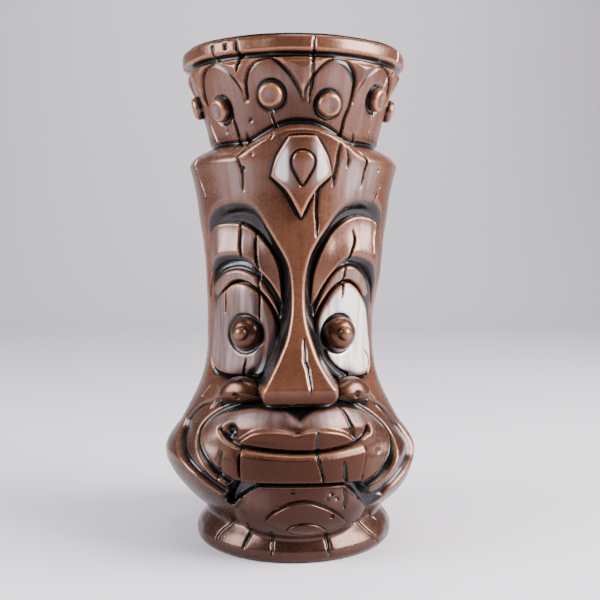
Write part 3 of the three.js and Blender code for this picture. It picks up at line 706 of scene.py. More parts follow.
class Pad:
    """A raised ornament: top(s, z, d) is its thickness over base(s, z) at the depth d inside its edge."""

    def __init__(self, node, shape, base, top, stretch=1.0, middle=None, rings=30):
        self.node, self.shape, self.base, self.top = node, shape, base, top
        self.stretch, self.rings = stretch, rings
        self.middle = shape.mean(0) if middle is None else np.array(middle)

    def surface(self, s, z):
        """The radius of the pad's top, and the depth inside its edge."""
        d = depth_in(s, z, self.shape, self.stretch, 20)
        return self.base(s, z) + self.top(s, z, d), d

    def worn(self, s, z):
        """The top with its cracks and grain, the back sunk in the wall, and the depth inside the edge."""
        top, d = self.surface(s, z)
        top = top - np.minimum(carved(s, z), 1.0) + sample(grain, s, z)
        return top, self.base(s, z) - SUNK, d


def crown_wall(s, z):
    return along(CROWN, z)


def leaf_top(s, z, d):
    return 0.9 * round_off(d, 0.6) + 1.6 * ease_off(d, 4.6) - 0.35 * bump(z, 171.6, 1.6)


def kite_top(s, z, d):
    drop = depth_in(s, z, DROP, 1.0, 5)
    x = np.clip(np.abs(s - CREST) / mix(4.6, 10.4, bump(z, 133.5, 16)), 0, 1)
    pillow = np.sqrt(1 - x * x) * (1 - 0.4 * step(z, 140, 147))
    return 0.9 * round_off(d, 0.8) + 2.3 * pillow - 0.9 * bump(drop, -0.3, 0.75)


def brow_top_of(side):
    """A brow is thin beside the nose and rolls over to the lid farther out."""
    upper, lower = stroke(BROW_TOPS[side]), stroke(BROW_FEET[side])

    def top(s, z, d):
        over, _ = to_line(s, z, upper, 0.97, 20)
        under, _ = to_line(s, z, lower, 0.97, 20)
        outer = step(np.abs(s), 12, 23)
        fade = 1 - step(np.abs(s), 33, 44)
        full = 1.7 + 2.0 * step(over, 0, 12) * mix(0.4, 1, outer)
        rolls = round_off(over, 0.9) * round_off(under, mix(1.1, 4.4, outer))
        return np.where(d > 0, full * rolls * mix(0.12, 1, fade), 0)
    return top


def eye_top_of(side):
    """An eyeball is a low dome, with a valley on its nose side and a groove round its pupil."""
    valley = EYE_VALLEYS[side]
    deep = (0.9, 1.1)[side]

    def top(s, z, d):
        near, _ = to_line(s, z, valley, 1.0, 5)
        fade = 1 - step(np.abs(s), 31, 43)
        lower = 1 - step(z, 68, 82)
        edge = 1.3 * round_off(d, 0.9) * np.maximum(fade, 0.7 * lower)
        ring = rings_round(s, z, PUPIL_PLACES[side:side + 1], 6.4, 1.5)
        dome = 1.3 * round_off(d, 11) * mix(0.2, 1, fade)
        return edge + dome - deep * bump(near, 0, (2.6, 1.2)[side]) - 0.9 * ring
    return top


def wing_top_of(side):
    ps, pz, radius = DIMPLES[side]

    def top(s, z, d):
        dimple = 1 - step(np.hypot(s - ps, z - pz), 0.3 * radius, radius)
        return 6.0 * round_off(d, 7) - 1.2 * dimple
    return top


def wing_base(s, z):
    return 33.6 + 0.12 * (z - 58)


def lip_base(s, z):
    return 45.0 + 0 * s


def bar_top(s, z, d):
    """The lower lip is a bar with a bevel along its top edge."""
    top_edge = 40.9 + 1.6 * np.clip((s - 1) / 17, -1, 1) ** 2
    chamfer = np.clip((z - top_edge + 2.3) / 2.3, 0, 1)
    return 2.5 * round_off(d, 0.9) - 1.5 * chamfer


def lens_top(s, z, d):
    return 1.3 * round_off(d, 0.7) + 0.3 * step(d, 0.5, 4)


def bead_top(s, z, d):
    return 0.8 * round_off(d, 0.8) + 0.5 * step(d, 0, 2)


def lens_front(s, z):
    return chin_front(s, z) + 1.5


def drop_base(s, z):
    """The middle of the crest's plaque."""
    return forehead(s, z) + 2.2


def drop_top(s, z, d):
    return 1.1 + 0.9 * round_off(d, 0.9) + 0.5 * step(d, 0, 3)


pads = []
for k in range(ORNAMENTS):
    left_side, right_side = leaf_sides(k)
    shape = np.vstack([left_side[::-1], right_side, [(LEAF_TIPS[k], 172.5)]])
    pads.append(Pad(f"crown_leaf_{k + 1:02d}", shape, crown_wall, leaf_top, 1.05))
pads.append(Pad("crest_plaque", KITE, forehead, kite_top, 1.05, (CREST, 136), 56))
for side, name in enumerate(("left", "right")):
    pads.append(Pad(f"eyeball_{name}", EYES[side], socket_floor, eye_top_of(side), 0.88, rings=60))
    dimple = DIMPLES[side][:2]
    pads.append(Pad(f"nose_wing_{name}", WINGS[side], wing_base, wing_top_of(side), 1.0, dimple, 36))
pads.append(Pad("lower_lip", LIP_BAR, lip_base, bar_top, 1.25, (0.9, 36), 90))
pads.append(Pad("chin_pad", LENS, chin_front, lens_top, 1.15, (2.4, 16.5)))
pads.append(Pad("chin_bead", BEAD, lens_front, bead_top, 1.15))
brow_pads, brow_edges = [], []
for side, name in enumerate(("left", "right")):
    foot, crest = (resampled(stroke(line), 150) for line in (BROW_FEET[side], BROW_TOPS[side]))
    brow_edges.append((foot, crest))
    rim = np.vstack([foot, crest[::-1]])
    brow_pads.append(Pad(f"brow_{name}", rim, socket_floor, brow_top_of(side), 0.97))


# --- Maps of the finished surface: where the glaze pools and where it is rubbed ---

CELL = 0.36
map_s = np.arange(-HALF_TURN, HALF_TURN, CELL)
map_z = np.arange(0, TOP + CELL, CELL)
MS, MZ = np.meshgrid(map_s, map_z)


def blur(field, across, up=None):
    """A Gaussian blur in millimetres that wraps round the mug."""
    for axis, size in ((1, across), (0, across if up is None else up)):
        half = int(math.ceil(3 * size / CELL))
        x = np.arange(-half, half + 1) * CELL
        kernel = np.exp(-0.5 * (x / size) ** 2)
        kernel /= kernel.sum()
        margin = [(0, 0), (0, 0)]
        margin[axis] = (half, half)
        wide = np.pad(field, margin, mode="wrap" if axis == 1 else "edge")
        field = np.apply_along_axis(lambda m: np.convolve(m, kernel, mode="valid"), axis, wide)
    return field


def sample(field, s, z):
    """The map's value at places on the wall."""
    u = (wrap(s) + HALF_TURN) / CELL
    v = np.clip(z / CELL, 0, len(map_z) - 1.001)
    i, j = np.floor(u).astype(int), np.floor(v).astype(int)
    fu, fv = u - i, v - j
    i0, i1 = i % len(map_s), (i + 1) % len(map_s)
    low = mix(field[j, i0], field[j, i1], fu)
    high = mix(field[j + 1, i0], field[j + 1, i1], fu)
    return mix(low, high, fv)


full_map = relief(MS, MZ)
pad_groove = np.zeros_like(full_map)
recess = np.zeros_like(full_map)
for pad in pads + brow_pads:
    for turn in (-1, 0, 1):
        s = MS + turn * 2 * HALF_TURN
        near = (s > pad.shape[:, 0].min() - 3) & (s < pad.shape[:, 0].max() + 3)
        if not near.any():
            continue
        columns = near.any(0)
        top, d = pad.surface(s[:, columns], MZ[:, columns])
        part = full_map[:, columns]
        full_map[:, columns] = np.where(d > 0, np.maximum(top, part), part)
        pad_groove[:, columns] = np.maximum(pad_groove[:, columns], bump(d, -0.4, 1.1))
        sunk = 0.5 * step(d, 0.2, 1.5) + 0.4 * bump(d, -0.1, 0.9)
        recess[:, columns] = np.maximum(recess[:, columns], sunk)
cut_map = carved(MS, MZ)
full_map = full_map - cut_map
grain = blur(rng.normal(0, 1, full_map.shape), 3.5, 6)
grain = 0.11 * grain / grain.std()

middle = blur(full_map, 1.2)
wide = blur(full_map, 3.6)
above_foot = step(MZ, 11, 19)
hollow = step(middle - full_map, 0.16, 0.6) + 0.8 * step(wide - full_map, 0.9, 2.6)
hollow = np.maximum(hollow, 0.95 * pad_groove * step(wide - full_map, 0.0, 0.5))
hollow = np.maximum(np.clip(hollow, 0, 1) * above_foot, step(cut_map, 0.25, 0.7))
slope = np.gradient(blur(full_map, 0.7), CELL, axis=0)
looks_up = step(-slope, 0.25, 0.8)
looks_down = step(slope, 0.12, 0.6)
# Painted shade in darker brown: the middle of the mouth and chin, the crown's wall, the right cheek and
# what faces down.
low_front = (1 - step(np.abs(MS), 16, 30)) * (1 - step(MZ, 58, 63)) * mix(0.6, 1, step(MZ, 8, 16))
low_front = low_front * mix(1, 0.65, step(np.abs(MS), 5, 12) * bump(MZ, 24, 6))
# Painted shade in the broad recesses too.
painted_shade = np.maximum(step(wide - full_map, 0.15, 1.8) * above_foot, low_front * (1 - 0.8 * looks_up))
painted_shade = np.maximum(painted_shade, 0.62 * (1 - step(np.abs(MS), 14, 36)) * bump(MZ, 153, 13))
right_cheek = 0.5 * step(MS, 14, 24) * (1 - step(MS, 46, 60)) * step(MZ, 24, 32) * (1 - step(MZ, 46, 54))
painted_shade = np.maximum(painted_shade, right_cheek)
# Painted shade grows towards the bottom of the mug.
painted_shade = np.maximum(painted_shade, 0.3 * (1 - step(MZ, 44, 60)) + 0.25 * (1 - step(MZ, 14, 22)))
under = 0.85 * looks_down * (1 - step(np.abs(MS), 24, 40)) * step(MZ, 16, 20) * (1 - step(MZ, 66, 72))
painted_shade = np.maximum(painted_shade, under)


def inked_and_shadowed():
    """Black glaze with painted shadow fills the gaps of the sockets, and painted shade darkens the rolled
    edges over them.
    """
    front = depth_in(MS, MZ, FRONT, 0.97, 14)
    brow = step(np.abs(MS), 8, 19) * step(MZ, 104, 112)
    fade = 1 - step(np.abs(MS), 37, 44)
    ink_and_shade = brow * (1 - step(front, 0.5, 3.6)) * (front > 0)
    open_floor = step(-front, -0.1, 0.5) * step(MZ, 62, 64)
    for shape in LIDS + EYES + tuple(pad.shape for pad in brow_pads):
        open_floor = open_floor * (1 - step(depth_in(MS, MZ, shape, 0.97, 4), -0.5, 0.3))
    flank = mix(0.65, 1, np.maximum(step(MZ, 80, 90), step(-front, 1.5, 3)))
    ink_and_shade = np.maximum(ink_and_shade, open_floor * flank)
    for side in range(2):
        under, _ = to_line(MS, MZ, stroke(BROW_FEET[side]), 0.97, 8)
        inside = brow_pads[side].shape
        roll = (1 - step(under, 0.4, 3.4)) * step(np.abs(MS), 13, 22)
        ink_and_shade = np.maximum(ink_and_shade, roll * (depth_in(MS, MZ, inside, 0.97, 4) > 0))
    return ink_and_shade * fade * (1 - step(MZ, 128, 132))


def arch_shadows():
    """Painted shadow and black glaze in the crown's arches, thick along each leaf's left side, thin along
    its right.
    """
    shadow = np.zeros_like(MS)
    for k, tip in enumerate(LEAF_TIPS):
        left_side, right_side = leaf_sides(k)
        for edge, width in ((left_side, (1.7, 2.7)[k] if k < 2 else 1.2), (right_side, 0.55)):
            near, share = to_line(MS, MZ, edge, 1.05, 5)
            lens = np.clip(4 * share * (1 - share), 0, 1) ** 0.5
            line = 1 - step(near, 0.55 * width * lens, width * lens + 0.05)
            shadow = np.maximum(shadow, line)
    return shadow


# Thin black lines round the drop, the muzzle and the fold of cheek, and in the clefts and grooves.
drop_edge, _ = to_line(MS, MZ, DROP, reach=2.0, closed=True)
hollow = np.maximum(hollow, 1 - step(drop_edge, 0.3, 0.7))
below_nose = 1 - step(MZ, 51, 55)
for line, place, half in ((MUZZLE_LINE, 0.8, 1.2), (FOLD, 0.6, 0.8)):
    groove = depth_in(MS, MZ, line, 1.1, 3)
    drawn = (1 - step(np.abs(groove - place), 0.45 * half, half)) * below_nose
    hollow = np.maximum(hollow, drawn * step(np.abs(MS), 17, 20))
hollow = np.maximum(hollow, step(cleft_depth(MS, MZ), -0.6, 0.1))
hollow = np.maximum(hollow, inked_and_shadowed())
for places, radius in ((STUD_PLACES, 4.6), (PUPIL_PLACES, 6.7)):
    hollow = np.maximum(hollow, step(rings_round(MS, MZ, places, radius, 1.1), 0.25, 0.7))
# The wall's black takes in the painted shadow of the crown's arches.
wall_hollow_and_shadow = np.maximum(hollow, arch_shadows())

# Rubbed copper on sharp edges, with painted edge highlight; none in the black or the clefts.
rubbed_and_highlit = step(full_map - blur(full_map, 0.6), 0.1, 0.36) * (1 - step(hollow, 0.1, 0.5))
rubbed_and_highlit = rubbed_and_highlit * (1 - step(cleft_depth(MS, MZ), -1.4, -0.6))
# The nose's wings get no rubbed edges, and painted shade to dull their highlights.
for shape in WINGS:
    on_wing = depth_in(MS, MZ, shape, 1.0, 3) > 0
    rubbed_and_highlit = np.where(on_wing, 0, rubbed_and_highlit)
    painted_shade = np.where(on_wing, np.maximum(painted_shade, 0.55), painted_shade)


def patch(shape, soft):
    """1 well inside an outline and 0 outside, over soft millimetres."""
    return step(depth_in(MS, MZ, shape, 1.0, 2 * soft + 2), -0.2 * soft, soft)


def pale_map():
    """Where the brown is brushed over with a greyer glaze, and painted sheen; over 1 it becomes a painted
    white highlight.
    """
    pale = 0.32 * step(MZ, 147, 150) * (1 - step(MZ, 168, 172))
    for leaf in pads[:ORNAMENTS]:
        for turn in (-1, 0, 1):
            on_leaf = depth_in(MS + turn * 2 * HALF_TURN, MZ, leaf.shape, 1.05, 2) > -0.3
            pale = np.where(on_leaf, 0, pale)
    # Painted white highlight on the plaque's flanks, but not its middle.
    off_middle = step(np.abs(MS - CREST), 2.5, 4.5)
    pale = np.maximum(pale, 1.6 * patch(KITE, 1.2) * step(MZ, 127, 132) * off_middle)
    # Grey glaze with painted sheen on the eyeballs, lids and brows; the right eyeball's is a painted white
    # highlight.
    for side in range(2):
        pale = np.maximum(pale, (0.95, 1.6)[side] * patch(EYES[side], 1.5))
        pale = np.maximum(pale, 0.8 * patch(LIDS[side], 1.0))
        brow = patch(brow_pads[side].shape, 2.5)
        pale = np.maximum(pale, (0.5, 0.15)[side] * brow * step(MZ, 101, 114))
    # Grey glaze with painted sheen on the muzzle, most on its upward-facing top, none on the lip.
    muzzle = patch(MUZZLE_LINE, 1.5)
    lip = bump(MS, 0, 26) * step(MZ, 30, 33) * (1 - step(MZ, 48, 50.5))
    sides = mix(mix(0.4, 0.05, step(MS, -5, 5)), 1, step(MZ, 46, 50))
    pale = np.maximum(pale, 0.85 * muzzle * sides * (1 - np.clip(1.6 * lip, 0, 1)))
    pale = np.maximum(pale, 0.35 * patch(CHIN, 2))
    # Painted sheen and highlight on the forehead's flanks, stronger on the right.
    flank = bump(np.abs(MS), 22, 13) * step(MZ, 122, 130) * (1 - step(MZ, 137, 140))
    pale = np.maximum(pale, mix(0.7, 1.15, step(MS, -5, 5)) * flank)
    # A faint painted highlight on the sides of the foot.
    foot = 0.2 * bump(MZ, 10, 7) * step(np.abs(MS), 8, 14)
    return np.maximum(pale, foot * (1 - step(np.abs(MS), 26, 50)))


pale = blur(pale_map(), 0.8)


# --- Meshes ---

def on_wall(s, z, r):
    """Points in metres from arc, height and radius in millimetres."""
    a, r = s / MAP, r + lean(s, z)
    return np.stack([r * np.sin(a), -r * np.cos(a), z + 0 * a], -1) * MM


def store(mesh, name, values):
    """Keeps a number for each point of the mesh, for its glaze to read."""
    layer = mesh.attributes.new(name, "FLOAT", "POINT")
    layer.data.foreach_set("value", np.asarray(values, np.float32))


def paint(mesh, s, z, inside, first_hidden):
    """Stores the maps of the finished surface on the mesh's points.

    Black is left off at the edges, where inside is 0, and the points from first_hidden on are all black.
    """
    for name, field in (("hollow", hollow), ("painted_shade", painted_shade), ("rubbed_and_highlit", rubbed_and_highlit), ("pale", pale)):
        values = sample(field, s, z).astype(np.float32).ravel()
        if name == "hollow":
            values *= inside
        values[first_hidden:] = 1.0 if name == "hollow" else 0.0
        store(mesh, name, values)


def make_mesh(name, points, faces, material):
    """A smooth piece on the root body; drum holds its points moved onto the drum of radius MAP."""
    mesh = bpy.data.meshes.new(name)
    mesh.from_pydata(points.reshape(-1, 3).tolist(), [], faces)
    mesh.validate()
    mesh.polygons.foreach_set("use_smooth", [True] * len(mesh.polygons))
    mesh.materials.append(material)
    x, y, z = points.reshape(-1, 3).T
    a = np.arctan2(x, -y)
    drum = np.stack([MAP * MM * np.sin(a), -MAP * MM * np.cos(a), z], 1)
    layer = mesh.attributes.new("drum", "FLOAT_VECTOR", "POINT")
    layer.data.foreach_set("vector", drum.astype(np.float32).ravel())
    piece = bpy.data.objects.new(name, mesh)
    bpy.context.scene.collection.objects.link(piece)
    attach(piece, "root")
    return piece


def grid_faces(rows, columns, wrapped):
    """The faces between rows of points; a wrapped grid joins its last column to its first."""
    j, i = np.meshgrid(np.arange(rows - 1), np.arange(columns if wrapped else columns - 1), indexing="ij")
    a = j * columns + i
    b = j * columns + (i + 1) % columns
    return np.stack([a, b, b + columns, a + columns], -1).reshape(-1, 4)


def tube_faces(rows, columns):
    """The faces of a closed tube; the middles of its two ends are the two points after the rows."""
    faces = grid_faces(rows, columns, True).tolist()
    low, high, last = rows * columns, rows * columns + 1, (rows - 1) * columns
    for i in range(columns):
        n = (i + 1) % columns
        faces.append([low, n, i])
        faces.append([high, last + i, last + n])
    return faces


LIP_PROFILE = [(38.9, TOP - 0.62), (37.6, TOP - 0.6), (36.9, TOP - 0.9)]
CAVITY = [
    (35.8, 174), (33.4, 168), (30.6, 160), (28.2, 154), (26.4, 149.5), (25.9, 146.5), (26.6, 143),
    (27.8, 138), (28.6, 130), (27.8, 118), (26.6, 104), (25.8, 88), (25.8, 72), (27.6, 60), (31, 50),
    (35, 42), (36.8, 36), (36.2, 30), (33.6, 22.6), (29, 14.6), (25.6, 10.4), (21, 8.8), (10, 8.6),
]
FOOT_RING = [(12, 1.6), (25, 1.6), (26.4, 1.4), (27, 0.5), (27.6, 0), (30, 0), (34.4, 0)]
CAVITY_FLOOR = CAVITY[-1][1]
FOOT_RECESS = FOOT_RING[0][1]


FACE_HALF = 60  # the face reaches this far to both sides
FINE, COARSE = 0.3, 0.62  # how far apart the wall's columns are on the face and round the back


def build_body():
    """The wall inside and out, closed at the lip and under the foot."""
    front = np.arange(-FACE_HALF, FACE_HALF, FINE)
    back = FACE_HALF + np.arange(0, 2 * (HALF_TURN - FACE_HALF), COARSE)
    s = np.concatenate([front, back])
    foot, rim = np.linspace(0, 1.6, 7), np.linspace(TOP - 2.8, TOP - 0.9, 9)
    z = np.concatenate([foot, np.arange(2.0, TOP - 3, 0.32), rim])
    S, Z = np.meshgrid(s, z)
    S = wrap(S)
    r = relief(S, Z)
    r = r - sample(recess, S, Z) - carved(S, Z) + sample(grain, S, Z) * step(Z, 0.5, 5)
    for _ in range(2):
        r[1:-1] = (r[:-2] + 2 * r[1:-1] + r[2:]) / 4
        r = (np.roll(r, 1, axis=1) + 2 * r + np.roll(r, -1, axis=1)) / 4
    outer = on_wall(S, Z, r)
    a = s / MAP

    def ring(radius, height):
        return np.stack([radius * np.sin(a), -radius * np.cos(a), height + 0 * a], -1) * MM

    rows = [ring(*p) for p in FOOT_RING] + list(outer) + [ring(*p) for p in LIP_PROFILE + CAVITY]
    points = np.array(rows)
    count, columns = points.shape[:2]
    flat = points.reshape(-1, 3)
    middles = np.array([[0, 0, FOOT_RECESS * MM], [0, 0, CAVITY_FLOOR * MM]])
    faces = tube_faces(count, columns)
    piece = make_mesh("carved_wall", np.vstack([flat, middles]), faces, body_glaze)
    all_s = np.concatenate([np.tile(wrap(s), count), [0, 0]])
    all_z = np.concatenate([flat[:, 2] / MM, [0, 0]])
    first = len(FOOT_RING) * columns
    painted = np.zeros(len(all_s), bool)
    painted[first:first + outer.shape[0] * columns] = True
    looks = (
        ("hollow", wall_hollow_and_shadow, 0.0), ("painted_shade", painted_shade, 0.0), ("rubbed_and_highlit", rubbed_and_highlit, 0.0), ("pale", pale, 0.3),
    )
    for name, field, elsewhere in looks:
        store(piece.data, name, np.where(painted, sample(field, all_s, all_z), elsewhere))
    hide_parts("mug_body")


def build_pad(pad):
    """A closed pad: a finely ringed top, a short wall round it, and a flat back sunk in the body."""
    rings = pad.rings
    halfway = (pad.shape + np.roll(pad.shape, -1, axis=0)) / 2
    shape = np.stack([pad.shape, halfway], 1).reshape(-1, 2)
    n = len(shape)
    after = np.roll(shape, -1, axis=0)
    if (shape[:, 0] * after[:, 1] - after[:, 0] * shape[:, 1]).sum() < 0:
        shape = shape[::-1]
    rho = np.sin(np.linspace(0, math.pi / 2, rings + 1))[1:]
    s = pad.middle[0] + rho[:, None] * (shape[:, 0] - pad.middle[0])
    z = pad.middle[1] + rho[:, None] * (shape[:, 1] - pad.middle[1])
    s = np.vstack([np.full((1, n), pad.middle[0]), s])
    z = np.vstack([np.full((1, n), pad.middle[1]), z])
    top, back, d = pad.worn(s, z)
    tops = on_wall(s[1:], z[1:], top[1:]).reshape(-1, 3)
    centre = on_wall(s[:1, 0], z[:1, 0], top[:1, 0])
    edge = on_wall(s[-1], z[-1], back[-1])
    inner = on_wall(s[rings // 2], z[rings // 2], back[rings // 2])
    core = on_wall(s[:1, 0], z[:1, 0], back[:1, 0])
    points = np.vstack([centre, tops, edge, inner, core])
    faces = []

    def at(ring, k):
        return 1 + (ring - 1) * n + k % n

    for k in range(n):
        faces.append([0, at(1, k), at(1, k + 1)])
        for ring in range(1, rings + 2):
            faces.append([at(ring, k), at(ring + 1, k), at(ring + 1, k + 1), at(ring, k + 1)])
        faces.append([at(rings + 2, k), len(points) - 1, at(rings + 2, k + 1)])
    piece = make_mesh(pad.node + "_glazed", points, faces, ornament_glaze)
    all_s = np.concatenate([[s[0, 0]], s[1:].ravel(), s[-1], s[rings // 2], [s[0, 0]]])
    all_z = np.concatenate([[z[0, 0]], z[1:].ravel(), z[-1], z[rings // 2], [z[0, 0]]])
    hidden = 2 * n + 1
    depths = np.concatenate([[9], d[1:].ravel(), np.zeros(hidden)])
    paint(piece.data, all_s, all_z, step(depths, 0.1, 0.6), len(all_s) - hidden)
    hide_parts(pad.node)


def between(first, last, rows):
    """A grid of places between two lines, with its rows packed towards both of them."""
    v = 0.5 - 0.5 * np.cos(np.linspace(0, math.pi, rows))
    grid = first[None] + (last - first)[None] * v[:, None, None]
    return grid[..., 0], grid[..., 1]


def build_sheet(pad, s, z):
    """A closed pad over a grid of places whose columns run right and whose rows run up.

    Its back is sunk in the body.
    """
    top, back, d = pad.worn(s, z)
    rows, columns = s.shape
    faces = grid_faces(rows, columns, False)
    count = rows * columns
    under = faces[:, ::-1] + count
    right = (np.arange(1, rows) + 1) * columns - 1
    far = (rows - 1) * columns + np.arange(columns - 2, -1, -1)
    left = np.arange(rows - 2, 0, -1) * columns
    rim = np.concatenate([np.arange(columns), right, far, left])
    turn = np.roll(rim, -1)
    side = np.stack([turn, rim, rim + count, turn + count], -1)
    everything = np.vstack([faces, under, side])
    points = np.vstack([on_wall(s, z, top).reshape(-1, 3), on_wall(s, z, back).reshape(-1, 3)])
    piece = make_mesh(pad.node + "_glazed", points, everything.tolist(), ornament_glaze)
    inside = 1 if pad in brow_pads else np.tile(step(d.ravel(), 0.1, 0.6), 2)
    paint(piece.data, np.tile(s.ravel(), 2), np.tile(z.ravel(), 2), inside, count)
    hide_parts(pad.node)


def build_turned(node, profile, origin, out, shade, dim=0.0, segments=72, up=(0, 0, 1),
                 name=None, material=None):
    """A round piece whose profile (radius, height) is turned about the direction out.

    shade gives the shares of black, of rubbed copper with painted highlight and of grey with painted sheen
    by radius and height, and dim is the share of painted shade.
    """
    pts = stroke(profile, per=5)
    pts[:, 0] = np.maximum(pts[:, 0], 0)
    origin, out, up = np.array(origin), Vector(out).normalized(), Vector(up)
    side = up.cross(out).normalized()
    up = out.cross(side)
    a = np.linspace(0, 2 * math.pi, segments, endpoint=False)
    ring = np.outer(np.cos(a), side) + np.outer(np.sin(a), up)
    rows = [origin + (ring * r + np.array(out) * h) * MM for r, h in pts[1:-1]]
    ends = [origin + np.array(out) * h * MM for h in (pts[0][1], pts[-1][1])]
    points = np.vstack(rows + [np.array(ends)])
    faces = tube_faces(len(rows), segments)
    piece = make_mesh(name or node + "_glazed", points, faces, material or ornament_glaze)
    heights = np.concatenate([np.repeat([h for _, h in pts[1:-1]], segments), [pts[0][1], pts[-1][1]]])
    radii = np.concatenate([np.repeat([r for r, _ in pts[1:-1]], segments), [0, 0]])
    dark, bright, grey = shade(radii, heights)
    for label, values in (("hollow", dark), ("painted_shade", dim + 0 * dark), ("rubbed_and_highlit", bright), ("pale", grey)):
        store(piece.data, label, values)
    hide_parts(node)


# --- Glazes ---

def new_material(name):
    """A material, its nodes, its links and its shader."""
    material = bpy.data.materials.new(name)
    material.use_nodes = True
    nodes = material.node_tree.nodes
    shader = nodes["Principled BSDF"]
    return material, nodes, material.node_tree.links, shader


def antique_glaze(name):
    """Copper-brown glaze: grey where it is brushed and where sheen is painted, white where highlight is
    painted, black in the hollows and painted shadows, bright on rubbed and highlit edges, darker where
    shade is painted.
    """
    copper, light_copper, dark_streak = (0.085, 0.031, 0.0155), (0.13, 0.049, 0.024), (0.05, 0.019, 0.012)
    dark_grey, light_grey, highlight_white = (0.075, 0.045, 0.041), (0.2, 0.14, 0.135), (0.6, 0.54, 0.53)
    rubbed_highlight_copper, shade_brown = (0.34, 0.15, 0.075), (0.045, 0.0135, 0.0065)
    low_shade_brown, pooled_black_and_shadow = (0.02, 0.011, 0.008), (0.006, 0.005, 0.005)
    material, nodes, links, shader = new_material(name)
    place = nodes.new("ShaderNodeAttribute")
    place.attribute_name = "drum"

    def value(attribute):
        node = nodes.new("ShaderNodeAttribute")
        node.attribute_name = attribute
        return node.outputs["Fac"]

    def noise(scale, detail, stretch=(1, 1, 1)):
        mapping = nodes.new("ShaderNodeMapping")
        mapping.inputs["Scale"].default_value = stretch
        links.new(place.outputs["Vector"], mapping.inputs["Vector"])
        node = nodes.new("ShaderNodeTexNoise")
        node.inputs["Scale"].default_value = scale
        node.inputs["Detail"].default_value = detail
        links.new(mapping.outputs["Vector"], node.inputs["Vector"])
        return node.outputs["Fac"]

    def ramp(source, low, high, first=0.0, last=1.0):
        node = nodes.new("ShaderNodeMapRange")
        node.interpolation_type = "SMOOTHSTEP"
        for key, number in (("From Min", low), ("From Max", high), ("To Min", first), ("To Max", last)):
            node.inputs[key].default_value = number
        links.new(source, node.inputs["Value"])
        return node.outputs["Result"]

    def calc(kind, a, b):
        node = nodes.new("ShaderNodeMath")
        node.operation = kind
        for socket, v in zip(node.inputs, (a, b)):
            if isinstance(v, (int, float)):
                socket.default_value = v
            else:
                links.new(v, socket)
        return node.outputs["Value"]

    def blend(factor, a, b):
        node = nodes.new("ShaderNodeMix")
        node.data_type = "RGBA"
        links.new(factor, node.inputs["Factor"])
        for key, v in (("A", a), ("B", b)):
            socket = next(i for i in node.inputs if i.name == key and i.type == "RGBA")
            if isinstance(v, tuple):
                socket.default_value = (*v, 1)
            else:
                links.new(v, socket)
        return next(o for o in node.outputs if o.type == "RGBA")

    cloud = noise(38, 5)
    streak = noise(420, 4, (1, 1, 0.09))
    speck = noise(900, 3)
    hollow_in, rubbed_highlit_in, pale_in = value("hollow"), value("rubbed_and_highlit"), value("pale")
    brown = blend(ramp(cloud, 0.35, 0.65), copper, light_copper)
    brown = blend(ramp(streak, 0.45, 0.75, 0, 0.4), brown, dark_streak)
    grey = blend(ramp(streak, 0.3, 0.7), dark_grey, light_grey)
    brushed = calc("ADD", streak, calc("MULTIPLY", cloud, 0.7))
    # Grey glaze and painted sheen, by the pale map.
    grey_and_sheen = calc("MULTIPLY", pale_in, ramp(brushed, 0.55, 1.0, 0.45, 1.0))
    skin = blend(calc("MINIMUM", grey_and_sheen, 1.0), brown, grey)
    # Painted white highlight where pale goes over 1.
    painted_highlight = calc("MULTIPLY", ramp(pale_in, 1.0, 1.6), ramp(streak, 0.3, 0.6, 0.55, 1.0))
    skin = blend(painted_highlight, skin, highlight_white)
    # Rubbed copper with painted edge highlight.
    skin = blend(ramp(rubbed_highlit_in, 0.05, 0.9, 0, 0.65), skin, rubbed_highlight_copper)
    # Painted shade: a darker red-brown.
    shade = calc("MULTIPLY", value("painted_shade"), 0.88)
    skin = blend(shade, skin, shade_brown)
    # Painted shade: darker towards the bottom of the mug.
    height = nodes.new("ShaderNodeSeparateXYZ")
    links.new(place.outputs["Vector"], height.inputs["Vector"])
    skin = blend(ramp(height.outputs["Z"], 0.01, 0.07, 0.45, 0.0), skin, low_shade_brown)
    # Black glaze in the hollows, with painted shadow in the sockets and the crown's arches.
    ragged = calc("ADD", hollow_in, calc("MULTIPLY", calc("SUBTRACT", speck, 0.5), 0.35))
    black = ramp(ragged, 0.18, 0.62)
    skin = blend(black, skin, pooled_black_and_shadow)
    links.new(skin, shader.inputs["Base Color"])
    # Painted shade also makes the glaze more metallic, so that it reflects less.
    dull = calc("MULTIPLY", shade, calc("SUBTRACT", 1.0, black))
    links.new(calc("ADD", 0.4, calc("MULTIPLY", dull, 0.55)), shader.inputs["Metallic"])
    rough = calc("ADD", ramp(speck, 0.3, 0.7, 0.24, 0.33), calc("MULTIPLY", pale_in, 0.1))
    links.new(calc("SUBTRACT", rough, calc("MULTIPLY", black, 0.06)), shader.inputs["Roughness"])
    shader.inputs["Coat Weight"].default_value = 0.08
    shader.inputs["Coat Roughness"].default_value = 0.1
    grainy = calc("ADD", calc("MULTIPLY", streak, 0.7), calc("MULTIPLY", speck, 0.2))
    bumps = nodes.new("ShaderNodeBump")
    bumps.inputs["Strength"].default_value = 0.35
    bumps.inputs["Distance"].default_value = 0.0003
    links.new(grainy, bumps.inputs["Height"])
    links.new(bumps.outputs["Normal"], shader.inputs["Normal"])
    return material


